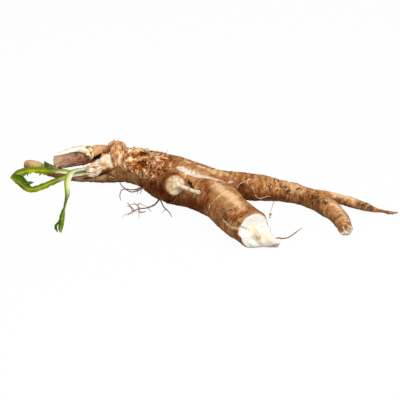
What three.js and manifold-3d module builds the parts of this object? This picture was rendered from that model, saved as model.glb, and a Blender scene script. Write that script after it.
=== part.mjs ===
// A forked chicory root lying as it was dug and broken: a hollow crown with young leaves at one end,
// a thick trunk that forks in two, a side root, and the snapped white ends.
// Millimetres, +Z up, +X along the root towards its tail. The root rests on z = 0.

import * as THREE from "three";
import { mergeVertices } from "three/addons/utils/BufferGeometryUtils.js";
import Module from "manifold-3d";

const wasm = await Module();
wasm.setup();

// Driving dimensions. A station is a point on a limb's centreline with the limb's radius there: [x, y, z, r].

// From the crown, past the fork, to the broken end of the thick near fork.
const TRUNK = [
  [-73, 42.5, 17, 10.5],
  [-62, 41, 17, 12.8],
  [-50, 35, 17, 13.4],
  [-39, 28, 17.2, 14.4],
  [-27, 17.5, 17.2, 17.3],
  [-15, 7.5, 16.5, 16.7],
  [-1, 0, 15.2, 15.2],
  [14, -16.5, 14.5, 14.5],
  [25.5, -38, 13.8, 13.6],
  [36, -54, 12.9, 12.9],
  [39.8, -60, 12.9, 12.9],
];
// The spur beside the torn valley, which runs down from the crown onto the far fork.
const SPUR = [
  [-29, 21.5, 24, 9],
  [-15, 17.5, 25.5, 7.2],
  [0, 10, 24, 6.6],
  [14, 4, 22, 6.2],
  [25, 0, 20, 5.8],
  [32, -3, 16.5, 4.9],
  [38, -3, 11, 3.4],
];
// The far fork, bending at its end into a short broken stump.
const FAR_FORK = [
  [-3, 12.5, 16, 10],
  [20, 12, 13, 10.3],
  [38, 10.5, 11.3, 10.3],
  [50, 11.5, 9.6, 9.5],
  [61, 11, 8.1, 8.2],
  [76, 5, 7.3, 7.5],
  [86, -3.5, 7.1, 7.3],
  [93, -12.5, 6.9, 7],
  [99, -21, 6.3, 6.4],
  [102.5, -31, 5.6, 5.9],
  [104, -43.5, 5, 5],
];
// The tail that leaves the far fork and thins to a point.
const TAIL = [
  [83, 3, 7.6, 5.4],
  [97, 2.5, 7.2, 3.9],
  [108, -0.5, 6, 3.8],
  [119.5, -7, 5, 3.7],
  [125, -9, 4.2, 3.2],
  [130, -10.7, 3, 2.1],
  [136, -11, 2.2, 1.3],
  [140.5, -13, 1.9, 1.6],
  [146.5, -10.7, 1.2, 0.7],
];
// The side root that runs back under the crown.
const SIDE_ROOT = [
  [-57, 38, 9, 7],
  [-76, 39, 6.3, 5.4],
  [-95, 42.5, 4.4, 4.4],
  [-111, 48, 4, 4.1],
  [-120, 54.5, 4, 4.2],
  [-130, 61.5, 4, 4.1],
  [-137, 64.5, 3.7, 3.3],
];
// Last year's shoot: a smooth collar, then its rough stump.
const SHOOT_STUMP = [
  [-62, 44.5, 20, 8],
  [-70, 47, 20.3, 7.4],
  [-78, 49, 20.3, 6.9],
  [-84, 48.5, 19.5, 6.4],
  [-90, 45.5, 18.3, 6],
  [-99, 43.5, 17.5, 5.6],
  [-106, 42.5, 17, 5.2],
  [-111, 42, 17, 4.4],
];
// The broken offshoot in front of the collar.
const OFFSHOOT = [
  [-63, 46, 18, 5.8],
  [-71, 42, 17, 5.6],
  [-78, 37, 14.3, 5],
  [-84.5, 33.5, 12.5, 4.2],
];
// The tuft of torn fibre that stands on the crown.
const TORN_PEAK = [
  [-58, 34.5, 22, 7.5],
  [-61, 38.5, 28, 6.5],
  [-63.8, 39.5, 34.5, 3.8],
];
// The side branch cut off short, and the woody core that was left sticking out of it.
const CUT_BRANCH = [
  [-23, 6, 20, 6.5],
  [-20, -4, 22.5, 7.2],
  [-16.5, -14.5, 25.5, 7.7],
];
const BRANCH_CORE = [
  [-17.5, -11.5, 25, 1.5],
  [-9, -18, 25, 1.3],
  [-1, -23.5, 24.2, 1.3],
];
// The broken end of the near fork: half of it snapped square, with a tongue and the core left standing.
const SNAP_CENTRE = new THREE.Vector3(37.3, -56.7, 12.6);
const SNAP_AXIS = new THREE.Vector3(0.545, -0.838, -0.04).normalize();
const SNAP_TONGUE = [
  [43.5, -51.5, 7, 6],
  [47.7, -57.3, 6.8, 5],
  [52.4, -61.5, 5.8, 3],
  [56.3, -64.3, 6.5, 1],
];
const SNAP_CORE = [
  [36, -55, 12.7, 2.3],
  [42.2, -64, 11.2, 1.9],
];
// Rotted hollows in the top of the crown: centre, half lengths [along, across, deep], and turn about Z.
const HOLLOWS = [
  { centre: [-43, 28.5, 30.5], half: [6.6, 4, 6.5], turn: -0.65 },
  { centre: [-42, 17, 26.5], half: [5, 4.2, 5.5], turn: -0.65 },
  { centre: [-55.5, 23.5, 24], half: [2.4, 2.2, 2.6], turn: 0 },
];

// Young leaves: centreline points with the blade's half width there. SIDE is the way the blade is wide.
const DROOPING_LEAF = [
  [-88.6, 35.6, 13.4, 1.8],
  [-92, 29.8, 15, 2.1],
  [-95.5, 22.7, 15.5, 2.1],
  [-97.3, 16, 13.5, 1.9],
  [-97, 8, 10, 1.7],
  [-95.4, -1.2, 6.5, 1.3],
  [-96, -11, 3.8, 1.2],
  [-97, -20.5, 2.2, 1.5],
  [-97.5, -31, 1.6, 1.9],
  [-99, -39.5, 1.5, 1.4],
];
const SERRATED_LEAF = [
  [-92, 36, 12.2, 1.2],
  [-98.6, 32.2, 12, 1.4],
  [-106.2, 36.2, 10.5, 1.8],
  [-113.5, 41, 9.2, 2.2],
  [-119.5, 45.4, 8, 2.6],
  [-126.4, 50.5, 6.7, 2.6],
  [-134, 54.4, 5.6, 2.4],
  [-141, 51.8, 5, 1.9],
  [-145.3, 43.4, 4.6, 0.8],
];
const FOLDED_LEAF = [
  [-92, 34, 9.6, 1.5],
  [-98.6, 31.8, 8.4, 1.9],
  [-105.4, 30, 7, 2],
  [-113, 28.2, 5.2, 2.2],
  [-120.4, 25.5, 3.8, 2.4],
  [-127.6, 22.4, 3, 2.4],
  [-133.7, 28.2, 2.9, 2.4],
  [-140, 37.4, 2.6, 1.9],
  [-145, 43.5, 1.8, 0.8],
];
const LEAF_BUD = [
  [-97, 38.8, 10, 1],
  [-104.9, 42.6, 10, 1.3],
  [-112.4, 45.7, 10.4, 1.6],
  [-117.7, 50.2, 10, 1.7],
  [-121.2, 56.5, 9.8, 0.7],
];
const LEAF_SIDE = new THREE.Vector3(0, -0.6, -0.8);
const DROOPING_SIDE = new THREE.Vector3(1, 0, 0);
const LEAF_THICKNESS = 0.9;
const BUD_THICKNESS = 1.6;
const SERRATION = 0.25; // share of the blade's half width that each tooth adds and each notch takes away
const TOOTH_PITCH = 3.5;
const TROUGH = 0.25; // how far a blade's edges lift, as a share of their distance from the midrib

// Dry remains on the stump: a papery scale, a thread-thin leaf stalk and a stick leaning on it.
const DRY_SCALE = [
  [-87, 48.5, 27.3, 4.6],
  [-87, 43.8, 26.6, 5],
  [-85.5, 40, 24.4, 3.8],
  [-83.2, 38.6, 21, 2.2],
  [-81.9, 38.3, 18.2, 0.8],
];
const SCALE_SIDE = new THREE.Vector3(1, 0, 0);
const SCALE_THICKNESS = 0.6;
const DRY_STALK = [
  [-81.5, 46.5, 27.9, 0.5],
  [-85, 45.8, 28.9, 0.45],
  [-92.4, 42.5, 29.6, 0.45],
  [-99.2, 40.5, 28.8, 0.45],
  [-107.2, 36.5, 26.6, 0.4],
];
const DRY_STICK = [
  [-111.8, 37.2, 10.2, 0.6],
  [-107.2, 36.2, 15.8, 0.7],
  [-102.2, 37.5, 21.2, 0.5],
];

// Rootlets, each a thread lying on or just above the surface.
const ROOTLETS = {
  rootlet_curled: [
    [-41.2, 6.3, 12.5, 0.5],
    [-44.6, 9.5, 9, 0.5],
    [-50, 13.5, 5.5, 0.45],
    [-55, 20.2, 4.5, 0.45],
    [-59, 26.7, 5, 0.4],
  ],
  rootlet_hooked: [
    [-43.4, 9.8, 10.9, 0.5],
    [-46, 15.5, 6.8, 0.5],
    [-50.2, 20.6, 3.6, 0.45],
    [-55, 25.6, 1.6, 0.45],
    [-58.5, 24.6, 1.1, 0.4],
    [-59.2, 16.5, 0.9, 0.4],
    [-58, 9.3, 0.9, 0.4],
  ],
  rootlet_bushy: [
    [-29.8, 5.6, 2.4, 0.6],
    [-33, 0.2, 1.4, 0.6],
    [-38.6, -3.6, 1.1, 0.5],
    [-44, -4.2, 1, 0.45],
    [-47.2, -8.7, 0.9, 0.45],
    [-50.6, -0.2, 0.9, 0.5],
    [-52.8, 5.3, 0.9, 0.4],
  ],
  rootlet_straight: [
    [-27.4, 3.6, 2, 0.6],
    [-25.4, -3, 1.4, 0.5],
    [-21.5, -9.8, 1.1, 0.5],
    [-19.2, -17, 0.9, 0.4],
  ],
  rootlet_at_snap: [
    [54.6, -62, 9.3, 0.6],
    [58.3, -54.5, 4, 0.55],
    [64.4, -47.4, 2, 0.5],
    [71.7, -35.6, 1, 0.4],
  ],
};

// How finely each kind of piece is faceted, and how uneven its skin is as a share of the radius.
const LIMB = { sides: 20, step: 4.5, unevenness: 0.045 };
const SLIM = { sides: 14, step: 4, unevenness: 0.04 };
const THREAD = { sides: 6, step: 3.5, unevenness: 0 };
const BLADE = { sides: 8, step: 2 };
const HOLLOW_FACETS = { around: 16, deep: 10 };
// The slow swells of the skin: lobes round the limb, how they wind along it in radians per millimetre.
const SWELLS = [
  { lobes: 2, winding: 0.11, share: 0.5, start: 0 },
  { lobes: 3, winding: -0.17, share: 0.35, start: 1 },
];
const SNAP_BOX = { along: 12, across: 40, up: 20 }; // larger than the corner it cuts off
const CLEAR_BOX = 400; // longer than the root, for cutting away everything below the surface it lies on
const WELD = 1e-4; // vertices closer than this are one

const SKIN = { color: 0xb07f52, roughness: 0.85, metalness: 0 };
const GREEN = { color: 0x7b8c12, roughness: 0.5, metalness: 0 };
const STRAW = { color: 0xd8c98a, roughness: 0.7, metalness: 0 };
const BARK = { color: 0x9a6538, roughness: 0.85, metalness: 0 };

const point = ([x, y, z]) => new THREE.Vector3(x, y, z);

function centreline(stations) {
  const curve = new THREE.CatmullRomCurve3(stations.map(point), false, "centripetal");
  const sizes = new THREE.SplineCurve(stations.map((s, i) => new THREE.Vector2(i, s[3])));
  return { curve, sizeAt: (u) => sizes.getPoint(curve.getUtoTmapping(u)).y };
}

// Bends a closed three.js cylinder of radius 1 and height 1 along a centreline.
// place(position on the line, angle round it, share of the radius, line's frame) gives each new vertex.
function bendCylinder(curve, sides, step, place) {
  const rings = Math.max(2, Math.round(curve.getLength() / step));
  const geometry = new THREE.CylinderGeometry(1, 1, 1, sides, rings);
  const frames = curve.computeFrenetFrames(rings, false);
  const vertex = new THREE.Vector3();
  const positions = geometry.attributes.position;
  for (let i = 0; i < positions.count; i++) {
    vertex.fromBufferAttribute(positions, i);
    const ring = Math.round((0.5 - vertex.y) * rings);
    const frame = {
      tangent: frames.tangents[ring],
      normal: frames.normals[ring],
      binormal: frames.binormals[ring],
    };
    const angle = Math.atan2(vertex.z, vertex.x);
    const share = Math.hypot(vertex.x, vertex.z);
    const offset = place(ring / rings, angle, share, frame);
    positions.setXYZ(i, ...curve.getPointAt(ring / rings).add(offset));
  }
  return geometry;
}

// A round limb whose radius follows its stations, with a slow swell and hollow round and along it.
function limb(stations, { sides, step, unevenness }) {
  const { curve, sizeAt } = centreline(stations);
  return bendCylinder(curve, sides, step, (u, angle, share, frame) => {
    const along = curve.getLength() * u;
    const swell = SWELLS.reduce(
      (sum, s) => sum + s.share * Math.sin(s.lobes * angle + s.winding * along + s.start),
      0,
    );
    const reach = sizeAt(u) * share * (1 + unevenness * swell);
    return frame.normal
      .clone()
      .multiplyScalar(Math.cos(angle) * reach)
      .addScaledVector(frame.binormal, Math.sin(angle) * reach);
  });
}

// A thin blade: wide along the side direction, with its edges lifted into a shallow trough.
// teeth widens and narrows the blade along its length.
function blade(stations, side, thickness, { trough = TROUGH, teeth = 0 } = {}) {
  const { curve, sizeAt } = centreline(stations);
  return bendCylinder(curve, BLADE.sides, BLADE.step, (u, angle, share, { tangent }) => {
    const across = side.clone().addScaledVector(tangent, -side.dot(tangent)).normalize();
    const facing = new THREE.Vector3().crossVectors(tangent, across);
    const notch = 1 + teeth * Math.cos((2 * Math.PI * curve.getLength() * u) / TOOTH_PITCH);
    const width = Math.cos(angle) * share * sizeAt(u) * notch;
    const height = (Math.sin(angle) * share * thickness) / 2 + trough * Math.abs(width);
    return across.multiplyScalar(width).addScaledVector(facing, height);
  });
}

function solidOf(geometry) {
  geometry.deleteAttribute("normal");
  geometry.deleteAttribute("uv");
  const merged = mergeVertices(geometry, WELD);
  const vertProperties = merged.attributes.position.array;
  const triVerts = new Uint32Array(merged.index.array);
  return new wasm.Manifold(new wasm.Mesh({ numProp: 3, vertProperties, triVerts }));
}

function geometryOf(solid) {
  const { vertProperties, triVerts } = solid.getMesh();
  const geometry = new THREE.BufferGeometry();
  geometry.setAttribute("position", new THREE.BufferAttribute(vertProperties, 3));
  geometry.setIndex(new THREE.BufferAttribute(triVerts, 1));
  geometry.computeVertexNormals();
  return geometry;
}

// A rotted hollow: an ellipsoid sunk in the top of the crown.
function hollow({ centre, half, turn }) {
  const geometry = new THREE.SphereGeometry(1, HOLLOW_FACETS.around, HOLLOW_FACETS.deep);
  geometry.scale(...half).rotateZ(turn).translate(...centre);
  return solidOf(geometry);
}

// The corner that snapped out of the near fork: everything past the break and above its middle.
function snappedCorner() {
  const { along, across, up } = SNAP_BOX;
  const sideways = new THREE.Vector3().crossVectors(SNAP_AXIS, new THREE.Vector3(0, 0, 1)).normalize();
  const upwards = new THREE.Vector3().crossVectors(sideways, SNAP_AXIS);
  const geometry = new THREE.BoxGeometry(along, across, up).translate(along / 2, 0, up / 2);
  const turn = new THREE.Matrix4().makeBasis(SNAP_AXIS, sideways.negate(), upwards).setPosition(SNAP_CENTRE);
  return solidOf(geometry.applyMatrix4(turn));
}

// Everything below z = 0.
function underneath() {
  const geometry = new THREE.BoxGeometry(CLEAR_BOX, CLEAR_BOX, CLEAR_BOX);
  return solidOf(geometry.translate(0, 0, -CLEAR_BOX / 2));
}

// The whole root is one grown piece. It is flat where it lies on the surface.
function taproot() {
  const parts = [
    limb(SPUR, SLIM),
    limb(FAR_FORK, LIMB),
    limb(TAIL, SLIM),
    limb(SIDE_ROOT, SLIM),
    limb(SHOOT_STUMP, SLIM),
    limb(OFFSHOOT, SLIM),
    limb(TORN_PEAK, SLIM),
    limb(CUT_BRANCH, SLIM),
    limb(BRANCH_CORE, THREAD),
    limb(SNAP_TONGUE, SLIM),
    limb(SNAP_CORE, SLIM),
  ];
  let root = solidOf(limb(TRUNK, LIMB)).subtract(snappedCorner());
  for (const part of parts) root = root.add(solidOf(part));
  for (const rot of HOLLOWS) root = root.subtract(hollow(rot));
  return geometryOf(root.subtract(underneath()));
}

const chicoryRoot = new THREE.Group();

function addPiece(name, geometry, finish) {
  const mesh = new THREE.Mesh(geometry, new THREE.MeshStandardMaterial(finish));
  mesh.name = name;
  chicoryRoot.add(mesh);
}

addPiece("taproot", taproot(), SKIN);
addPiece("leaf_drooping", blade(DROOPING_LEAF, DROOPING_SIDE, LEAF_THICKNESS), GREEN);
addPiece("leaf_serrated", blade(SERRATED_LEAF, LEAF_SIDE, LEAF_THICKNESS, { teeth: SERRATION }), GREEN);
addPiece("leaf_folded", blade(FOLDED_LEAF, LEAF_SIDE, LEAF_THICKNESS), GREEN);
addPiece("leaf_bud", blade(LEAF_BUD, LEAF_SIDE, BUD_THICKNESS), GREEN);
addPiece("dry_scale", blade(DRY_SCALE, SCALE_SIDE, SCALE_THICKNESS, { trough: 0 }), STRAW);
addPiece("dry_stalk", limb(DRY_STALK, THREAD), STRAW);
addPiece("dry_stick", limb(DRY_STICK, THREAD), BARK);
for (const [name, stations] of Object.entries(ROOTLETS)) addPiece(name, limb(stations, THREAD), BARK);

export default chicoryRoot;
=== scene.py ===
"""A dug, forked chicory root with young leaves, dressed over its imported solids.

The script follows the root from its body to its leaves, dry remains and rootlets. Stations and places are
in millimetres, as a grower would measure them, and each mesh is made in metres.
"""

import math

import bmesh
import bpy
import numpy as np
from mathutils import Matrix, Vector, noise


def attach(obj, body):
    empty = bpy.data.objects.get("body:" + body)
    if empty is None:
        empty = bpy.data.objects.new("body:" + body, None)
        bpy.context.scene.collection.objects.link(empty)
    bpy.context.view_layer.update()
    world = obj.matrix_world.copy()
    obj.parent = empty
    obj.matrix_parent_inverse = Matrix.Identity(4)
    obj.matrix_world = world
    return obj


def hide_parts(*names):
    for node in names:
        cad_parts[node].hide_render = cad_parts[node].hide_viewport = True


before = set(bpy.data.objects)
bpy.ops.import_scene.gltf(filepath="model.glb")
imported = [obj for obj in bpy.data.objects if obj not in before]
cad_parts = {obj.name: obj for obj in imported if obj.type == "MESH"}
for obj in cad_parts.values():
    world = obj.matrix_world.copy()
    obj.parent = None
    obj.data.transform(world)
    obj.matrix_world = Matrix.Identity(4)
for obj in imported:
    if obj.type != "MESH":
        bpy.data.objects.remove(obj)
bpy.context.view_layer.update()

# ---------------------------------------------------------------------------------------------------------
# The table, the light and the view. The root lies on a white table under one broad soft lamp, and is seen
# from the front and a little above, with a long lens.

AIM = Vector((0.0012, 0.0110, 0.0))
CAMERA_ELEVATION = math.radians(28)
CAMERA_DISTANCE = 0.833
LENS = 100
SENSOR = 36
ROOM_LIGHT = 0.42  # how brightly the white room lights the root

camera_data = bpy.data.cameras.new("camera")
camera_data.lens = LENS
camera_data.sensor_width = SENSOR
camera = bpy.data.objects.new("camera", camera_data)
bpy.context.scene.collection.objects.link(camera)
towards_camera = Vector((0, -math.cos(CAMERA_ELEVATION), math.sin(CAMERA_ELEVATION)))
camera.location = AIM + CAMERA_DISTANCE * towards_camera
camera.rotation_euler = (math.radians(90) - CAMERA_ELEVATION, 0, 0)
bpy.context.scene.camera = camera
bpy.context.scene.view_settings.view_transform = "Standard"


def add_lamp(name, place, size, power):
    """A square area lamp at a place, turned to the root."""
    data = bpy.data.lights.new(name, "AREA")
    data.size = size
    data.energy = power
    lamp = bpy.data.objects.new(name, data)
    bpy.context.scene.collection.objects.link(lamp)
    lamp.location = place
    lamp.rotation_euler = (AIM - Vector(place)).to_track_quat("-Z", "Y").to_euler()


add_lamp("key_lamp", (0.32, -0.38, 0.60), 0.50, 6.5)
add_lamp("fill_lamp", (-0.50, -0.40, 0.42), 0.50, 1.6)

world = bpy.data.worlds.new("studio")
world.use_nodes = True
bpy.context.scene.world = world
nodes, links = world.node_tree.nodes, world.node_tree.links
sky = nodes["Background"]
sky.inputs["Color"].default_value = (1, 1, 1, 1)
rays = nodes.new("ShaderNodeLightPath")
brightness = nodes.new("ShaderNodeMapRange")
brightness.inputs["To Min"].default_value = ROOM_LIGHT
brightness.inputs["To Max"].default_value = 1.0
links.new(rays.outputs["Is Camera Ray"], brightness.inputs["Value"])
links.new(brightness.outputs["Result"], sky.inputs["Strength"])

TABLE_SIZE = 3.0
TABLE_TONE = 0.3  # what the table throws back on to the root
TABLE_WHITE = 1.05  # how bright the camera sees the table
SHADOW_SHARE = 0.08  # how much of the table's own shading the camera sees under its white
bm = bmesh.new()
bmesh.ops.create_grid(bm, x_segments=1, y_segments=1, size=TABLE_SIZE)
table_mesh = bpy.data.meshes.new("table")
bm.to_mesh(table_mesh)
bm.free()
table = bpy.data.objects.new("table", table_mesh)
bpy.context.scene.collection.objects.link(table)
table_finish = bpy.data.materials.new("white_table")
table_finish.use_nodes = True
nodes, links = table_finish.node_tree.nodes, table_finish.node_tree.links
nodes.remove(nodes["Principled BSDF"])
matt_white = nodes.new("ShaderNodeBsdfDiffuse")
matt_white.inputs["Color"].default_value = (TABLE_TONE, TABLE_TONE, TABLE_TONE, 1)
plain_white = nodes.new("ShaderNodeEmission")
plain_white.inputs["Strength"].default_value = TABLE_WHITE
rays = nodes.new("ShaderNodeLightPath")
share = nodes.new("ShaderNodeMath")
share.operation = "MULTIPLY"
share.inputs[1].default_value = 1 - SHADOW_SHARE
mix = nodes.new("ShaderNodeMixShader")
links.new(rays.outputs["Is Camera Ray"], share.inputs[0])
links.new(share.outputs["Value"], mix.inputs["Fac"])
links.new(matt_white.outputs["BSDF"], mix.inputs[1])
links.new(plain_white.outputs["Emission"], mix.inputs[2])
links.new(mix.outputs["Shader"], nodes["Material Output"].inputs["Surface"])
table_mesh.materials.append(table_finish)

# ---------------------------------------------------------------------------------------------------------
# The body of the root, which grew as one piece: a wrinkled brown skin over white flesh with a yellow core.
# Its crown has rotted hollow, the near fork and the stump are snapped, and a side branch was cut off.
# A station is a point on a limb's centreline with the limb's radius there: [x, y, z, r].

MM = 0.001
TRUNK = [
    [-73, 42.5, 17, 10.5], [-62, 41, 17, 12.8], [-50, 35, 17, 13.4], [-39, 28, 17.2, 14.4],
    [-27, 17.5, 17.2, 17.3], [-15, 7.5, 16.5, 16.7], [-1, 0, 15.2, 15.2], [14, -16.5, 14.5, 14.5],
    [25.5, -38, 13.8, 13.6], [36, -54, 12.9, 12.9], [39.8, -60, 12.9, 12.9],
]
SPUR = [
    [-29, 21.5, 24, 9], [-15, 17.5, 25.5, 7.2], [0, 10, 24, 6.6], [14, 4, 22, 6.2], [25, 0, 20, 5.8],
    [32, -3, 16.5, 4.9], [38, -3, 11, 3.4],
]
FAR_FORK = [
    [-3, 12.5, 16, 10], [20, 12, 13, 10.3], [38, 10.5, 11.3, 10.3], [50, 11.5, 9.6, 9.5], [61, 11, 8.1, 8.2],
    [76, 5, 7.3, 7.5],
]
STUMP = [
    [76, 5, 7.3, 7.5], [86, -3.5, 7.1, 7.3], [93, -12.5, 6.9, 7], [99, -21, 6.3, 6.4],
    [102.5, -31, 5.6, 5.9], [104, -43.5, 5, 5],
]
TAIL = [
    [83, 3, 7.6, 5.4], [97, 2.5, 7.2, 3.9], [108, -0.5, 6, 3.8], [119.5, -7, 5, 3.7], [125, -9, 4.2, 3.2],
    [130, -10.7, 3, 2.1], [136, -11, 2.2, 1.3], [140.5, -13, 1.9, 1.6], [146.5, -10.7, 1.2, 0.7],
]
SIDE_ROOT = [
    [-57, 38, 9, 7], [-76, 39, 6.3, 5.4], [-95, 42.5, 4.4, 4.4], [-111, 48, 4, 4.1], [-120, 54.5, 4, 4.2],
    [-130, 61.5, 4, 4.1], [-137, 64.5, 3.7, 3.3],
]
SHOOT_STUMP = [
    [-62, 44.5, 20, 8], [-70, 47, 20.3, 7.4], [-78, 49, 20.3, 6.9], [-84, 48.5, 19.5, 6.4],
    [-90, 45.5, 18.3, 6], [-99, 43.5, 17.5, 5.6], [-106, 42.5, 17, 5.2], [-111, 42, 17, 4.4],
]
OFFSHOOT = [[-63, 46, 18, 5.8], [-71, 42, 17, 5.6], [-78, 37, 14.3, 5], [-84.5, 33.5, 12.5, 4.2]]
TORN_PEAK = [[-58, 34.5, 22, 7.5], [-61, 38.5, 28, 6.5], [-63.8, 39.5, 34.5, 3.8]]
CUT_BRANCH = [[-23, 6, 20, 6.5], [-20, -4, 22.5, 7.2], [-16.5, -14.5, 25.5, 7.7]]
BRANCH_CORE = [[-17.5, -11.5, 25, 1.5], [-9, -18, 25, 1.3], [-1, -23.5, 24.2, 1.3]]
SNAP_TONGUE = [[43.5, -51.5, 7, 6], [47.7, -57.3, 6.8, 5], [52.4, -61.5, 5.8, 3], [56.3, -64.3, 6.5, 1]]
SNAP_CORE = [[36, -55, 12.7, 2.3], [42.2, -64, 11.2, 1.9]]
LIMBS = {
    "trunk": TRUNK, "spur": SPUR, "far_fork": FAR_FORK, "stump": STUMP, "tail": TAIL, "side_root": SIDE_ROOT,
    "shoot_stump": SHOOT_STUMP, "offshoot": OFFSHOOT, "torn_peak": TORN_PEAK, "cut_branch": CUT_BRANCH,
    "branch_core": BRANCH_CORE, "snap_tongue": SNAP_TONGUE, "snap_core": SNAP_CORE,
}
# What the solids leave out is filled before the skin is laid on: the foot of the tongue, the peak's shards,
# the shoulder of the offshoot and the swelling where the far fork bends.
SNAP_FOOT = [[38, -60.6, 4.6, 3.8], [44, -59, 4.6, 4], [49.5, -59.6, 4.2, 3.4], [54, -61.4, 3.6, 2.2]]
SHARDS = [
    [[-65, 38.5, 30, 3], [-64.2, 42, 34.2, 1.3]], [[-62.5, 37.5, 30, 3], [-61.4, 40.6, 34, 1.5]],
    [[-59.5, 36.5, 29, 2.8], [-58.8, 39.4, 33.6, 1.5]], [[-58, 34, 27.5, 3], [-57, 36.6, 31.8, 1.8]],
]
SHOULDER_SWELL = [[-72, 36, 19.5, 4.6], [-68.5, 36, 23, 4.4], [-66, 35, 24.5, 3.4]]
FORK_SWELL = [[36.5, 7, 12, 8.9], [41, 6.5, 11.4, 9], [45, 7.5, 11, 8.4]]
STICK_SWELL = [
    [-17.5, -12, 24.8, 2.6], [-14, -14.5, 24.9, 1.9], [-9, -18, 25, 1.5], [-4, -21.6, 24.7, 1.6],
    [0, -23.6, 24.4, 1.9],
]
CORE_FOOT = [[35.4, -56.6, 13, 2.6], [38.4, -59.6, 10.6, 3], [41.2, -61.6, 8.4, 2.4], [43, -63, 6.8, 1.2]]
TONGUE_ROOT = [[40.5, -56, 10.4, 3], [44.5, -53.6, 10.4, 2.6]]
FILLS = [SNAP_FOOT, *SHARDS, SHOULDER_SWELL, FORK_SWELL, STICK_SWELL, CORE_FOOT, TONGUE_ROOT]
SNAP_CENTRE = np.array([37.3, -56.7, 12.6])
SNAP_AXIS = np.array([0.545, -0.838, -0.04])
# Places on the skin: [x, y, z, half width]. First the wound and its stain, a crack, and the lines over
# the snapped end.
WOUND = [
    [-14.5, 1.6, 31.5, 1.8], [-11, 0.2, 30.8, 2.8], [-5, -2.6, 29.4, 2.8], [0.5, -5.8, 28.8, 2.4],
    [5.5, -8.4, 28.6, 1.5], [8.5, -9.6, 28.4, 0.8], [12.4, -9.8, 28.4, 1.2], [15.2, -10.8, 28.2, 1.5],
    [18, -10.4, 27, 1.7], [20.2, -7.6, 25.2, 1.7], [22, -5, 23.8, 1.2], [24, -4.4, 23, 0.8],
]
OCHRE = [
    [-1, -0.5, 30.6, 1.2], [4.8, -2.6, 29.8, 2], [9.9, -2, 28.2, 2.1], [13.8, -3, 26.8, 1.6],
    [18, -3.5, 25, 1],
]
SKIN_CRACK = [
    [17.3, -48.6, 15.8, 0.3], [20.4, -52.9, 15.2, 0.7], [23.4, -57.2, 15.3, 1], [27.2, -62, 16.6, 1.1],
]
SNAP_LINES = [
    [[28.2, -62.5, 18.3, 0.3], [30.7, -61.2, 16.8, 0.4], [32.8, -59.7, 15, 0.4], [34.9, -59.3, 13.7, 0.4]],
    [[39.4, -57, 12.6, 0.2], [43.5, -53.6, 13.2, 0.4], [47.1, -51.3, 13, 0.4]],
]
# The skin's torn edge and the peak's top, both [x, z], the seam round the old shoot, the offshoot's
# shoulder, the painted shadow below its end, and the peak's cleft.
TORN_EDGE = [
    [-72, 15], [-66, 17.5], [-61, 19.5], [-52, 19.5], [-47, 18.7], [-42, 20], [-33, 22.5], [-28, 24.5],
    [-24, 27.5], [-19, 31.5], [-15, 36],
]  # how high the skin reaches on the crown's near side: [x, z]
PEAK_TOP = [
    [-74, 32], [-70, 32.8], [-68, 34], [-66.5, 36.4], [-64.5, 37.6], [-62, 36.6], [-60, 37], [-58.4, 36.2],
    [-57, 34.6], [-55.8, 32.4], [-54.8, 30], [-53.5, 28], [-50, 28],
]  # the peak's outline where y is 40: [x, z]
SEAM = [
    [-83.8, 44.5, 14.2, 1.3], [-79.6, 42.2, 18.3, 1.5], [-75.3, 41.2, 22.2, 1.6], [-71.9, 39, 25.8, 1.4],
    [-68.8, 36.5, 28.6, 1.0],
]
SHOULDER = [[-77, 33.5, 17, 4], [-73, 33, 19.8, 4.8], [-69.5, 32.4, 22.4, 5], [-66, 31, 22, 4.6]]
SHADOW_UNDER_END = [
    [-88, 36.3, 5, 0.6], [-82.3, 35.2, 6.7, 0.9], [-76, 34.3, 9.2, 0.9], [-72, 33.6, 11, 0.8],
    [-67.1, 30.2, 15.1, 0.7], [-63.8, 28, 17.4, 0.6],
]
PEAK_CLEFT = [
    [-63.8, 35, 34, 0.4], [-62.4, 32.6, 31, 0.8], [-61.6, 30, 27.4, 0.9], [-61, 28, 24.2, 0.8],
    [-60.6, 27, 21, 0.5],
]
# The rotten heart: its pits, pale ridges, holes, lumps and mould, and the way that its splinters lie.
ROT_PITS = [[-48.4, 29.4, 27.9, 1.6], [-44.2, 32, 26.8, 2.4], [-38.8, 31.4, 27.4, 2.2]]
ROT_WELL = [[-45.9, 20.4, 24.4, 2.2], [-42.3, 20, 24.2, 3.2], [-38.8, 15, 27.6, 2.4]]
ROT_BAR = [[-54, 26, 26, 1.3], [-48.2, 24, 27.4, 1.6], [-43.7, 22.8, 27.8, 1.4], [-38.5, 20, 30, 1.2]]
ROT_RIM = [
    [-56, 34, 30.5, 1.6], [-53.1, 33.8, 31, 1.8], [-48.7, 35.4, 30.9, 2.2], [-44, 34.6, 31, 2.2],
    [-39.6, 33.4, 31, 2.2], [-34.8, 28, 32.4, 1.8], [-30, 21, 34.4, 1.4],
]
ROT_HOLES = [
    [-27.4, 17.2, 34.2, 1.4], [-25.8, 11.7, 33.4, 1.3], [-22.7, 3.1, 31, 1.4], [-35, 7.6, 28.6, 1.8],
    [-55.8, 24, 22.4, 1.6], [-53.6, 29.3, 27.6, 1.6], [-20.1, 10.5, 33.4, 1.3], [-30.2, 2.2, 29.2, 1.4],
]
ROT_LUMPS = [[-34, 15, 32.6, 3], [-30.5, 11, 33, 3], [-31, 7, 31, 3.4], [-29, 3, 29.4, 2.8]]
MOULD = [[-45, 11.5, 22.5, 1.6], [-40.5, 8.5, 23, 1.8], [-40, 31.6, 30, 1.6], [-44, 32.5, 30.4, 1.2]]
SPLINTER_WAY = np.array([0.9, 0.25, 0.35])
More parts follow.
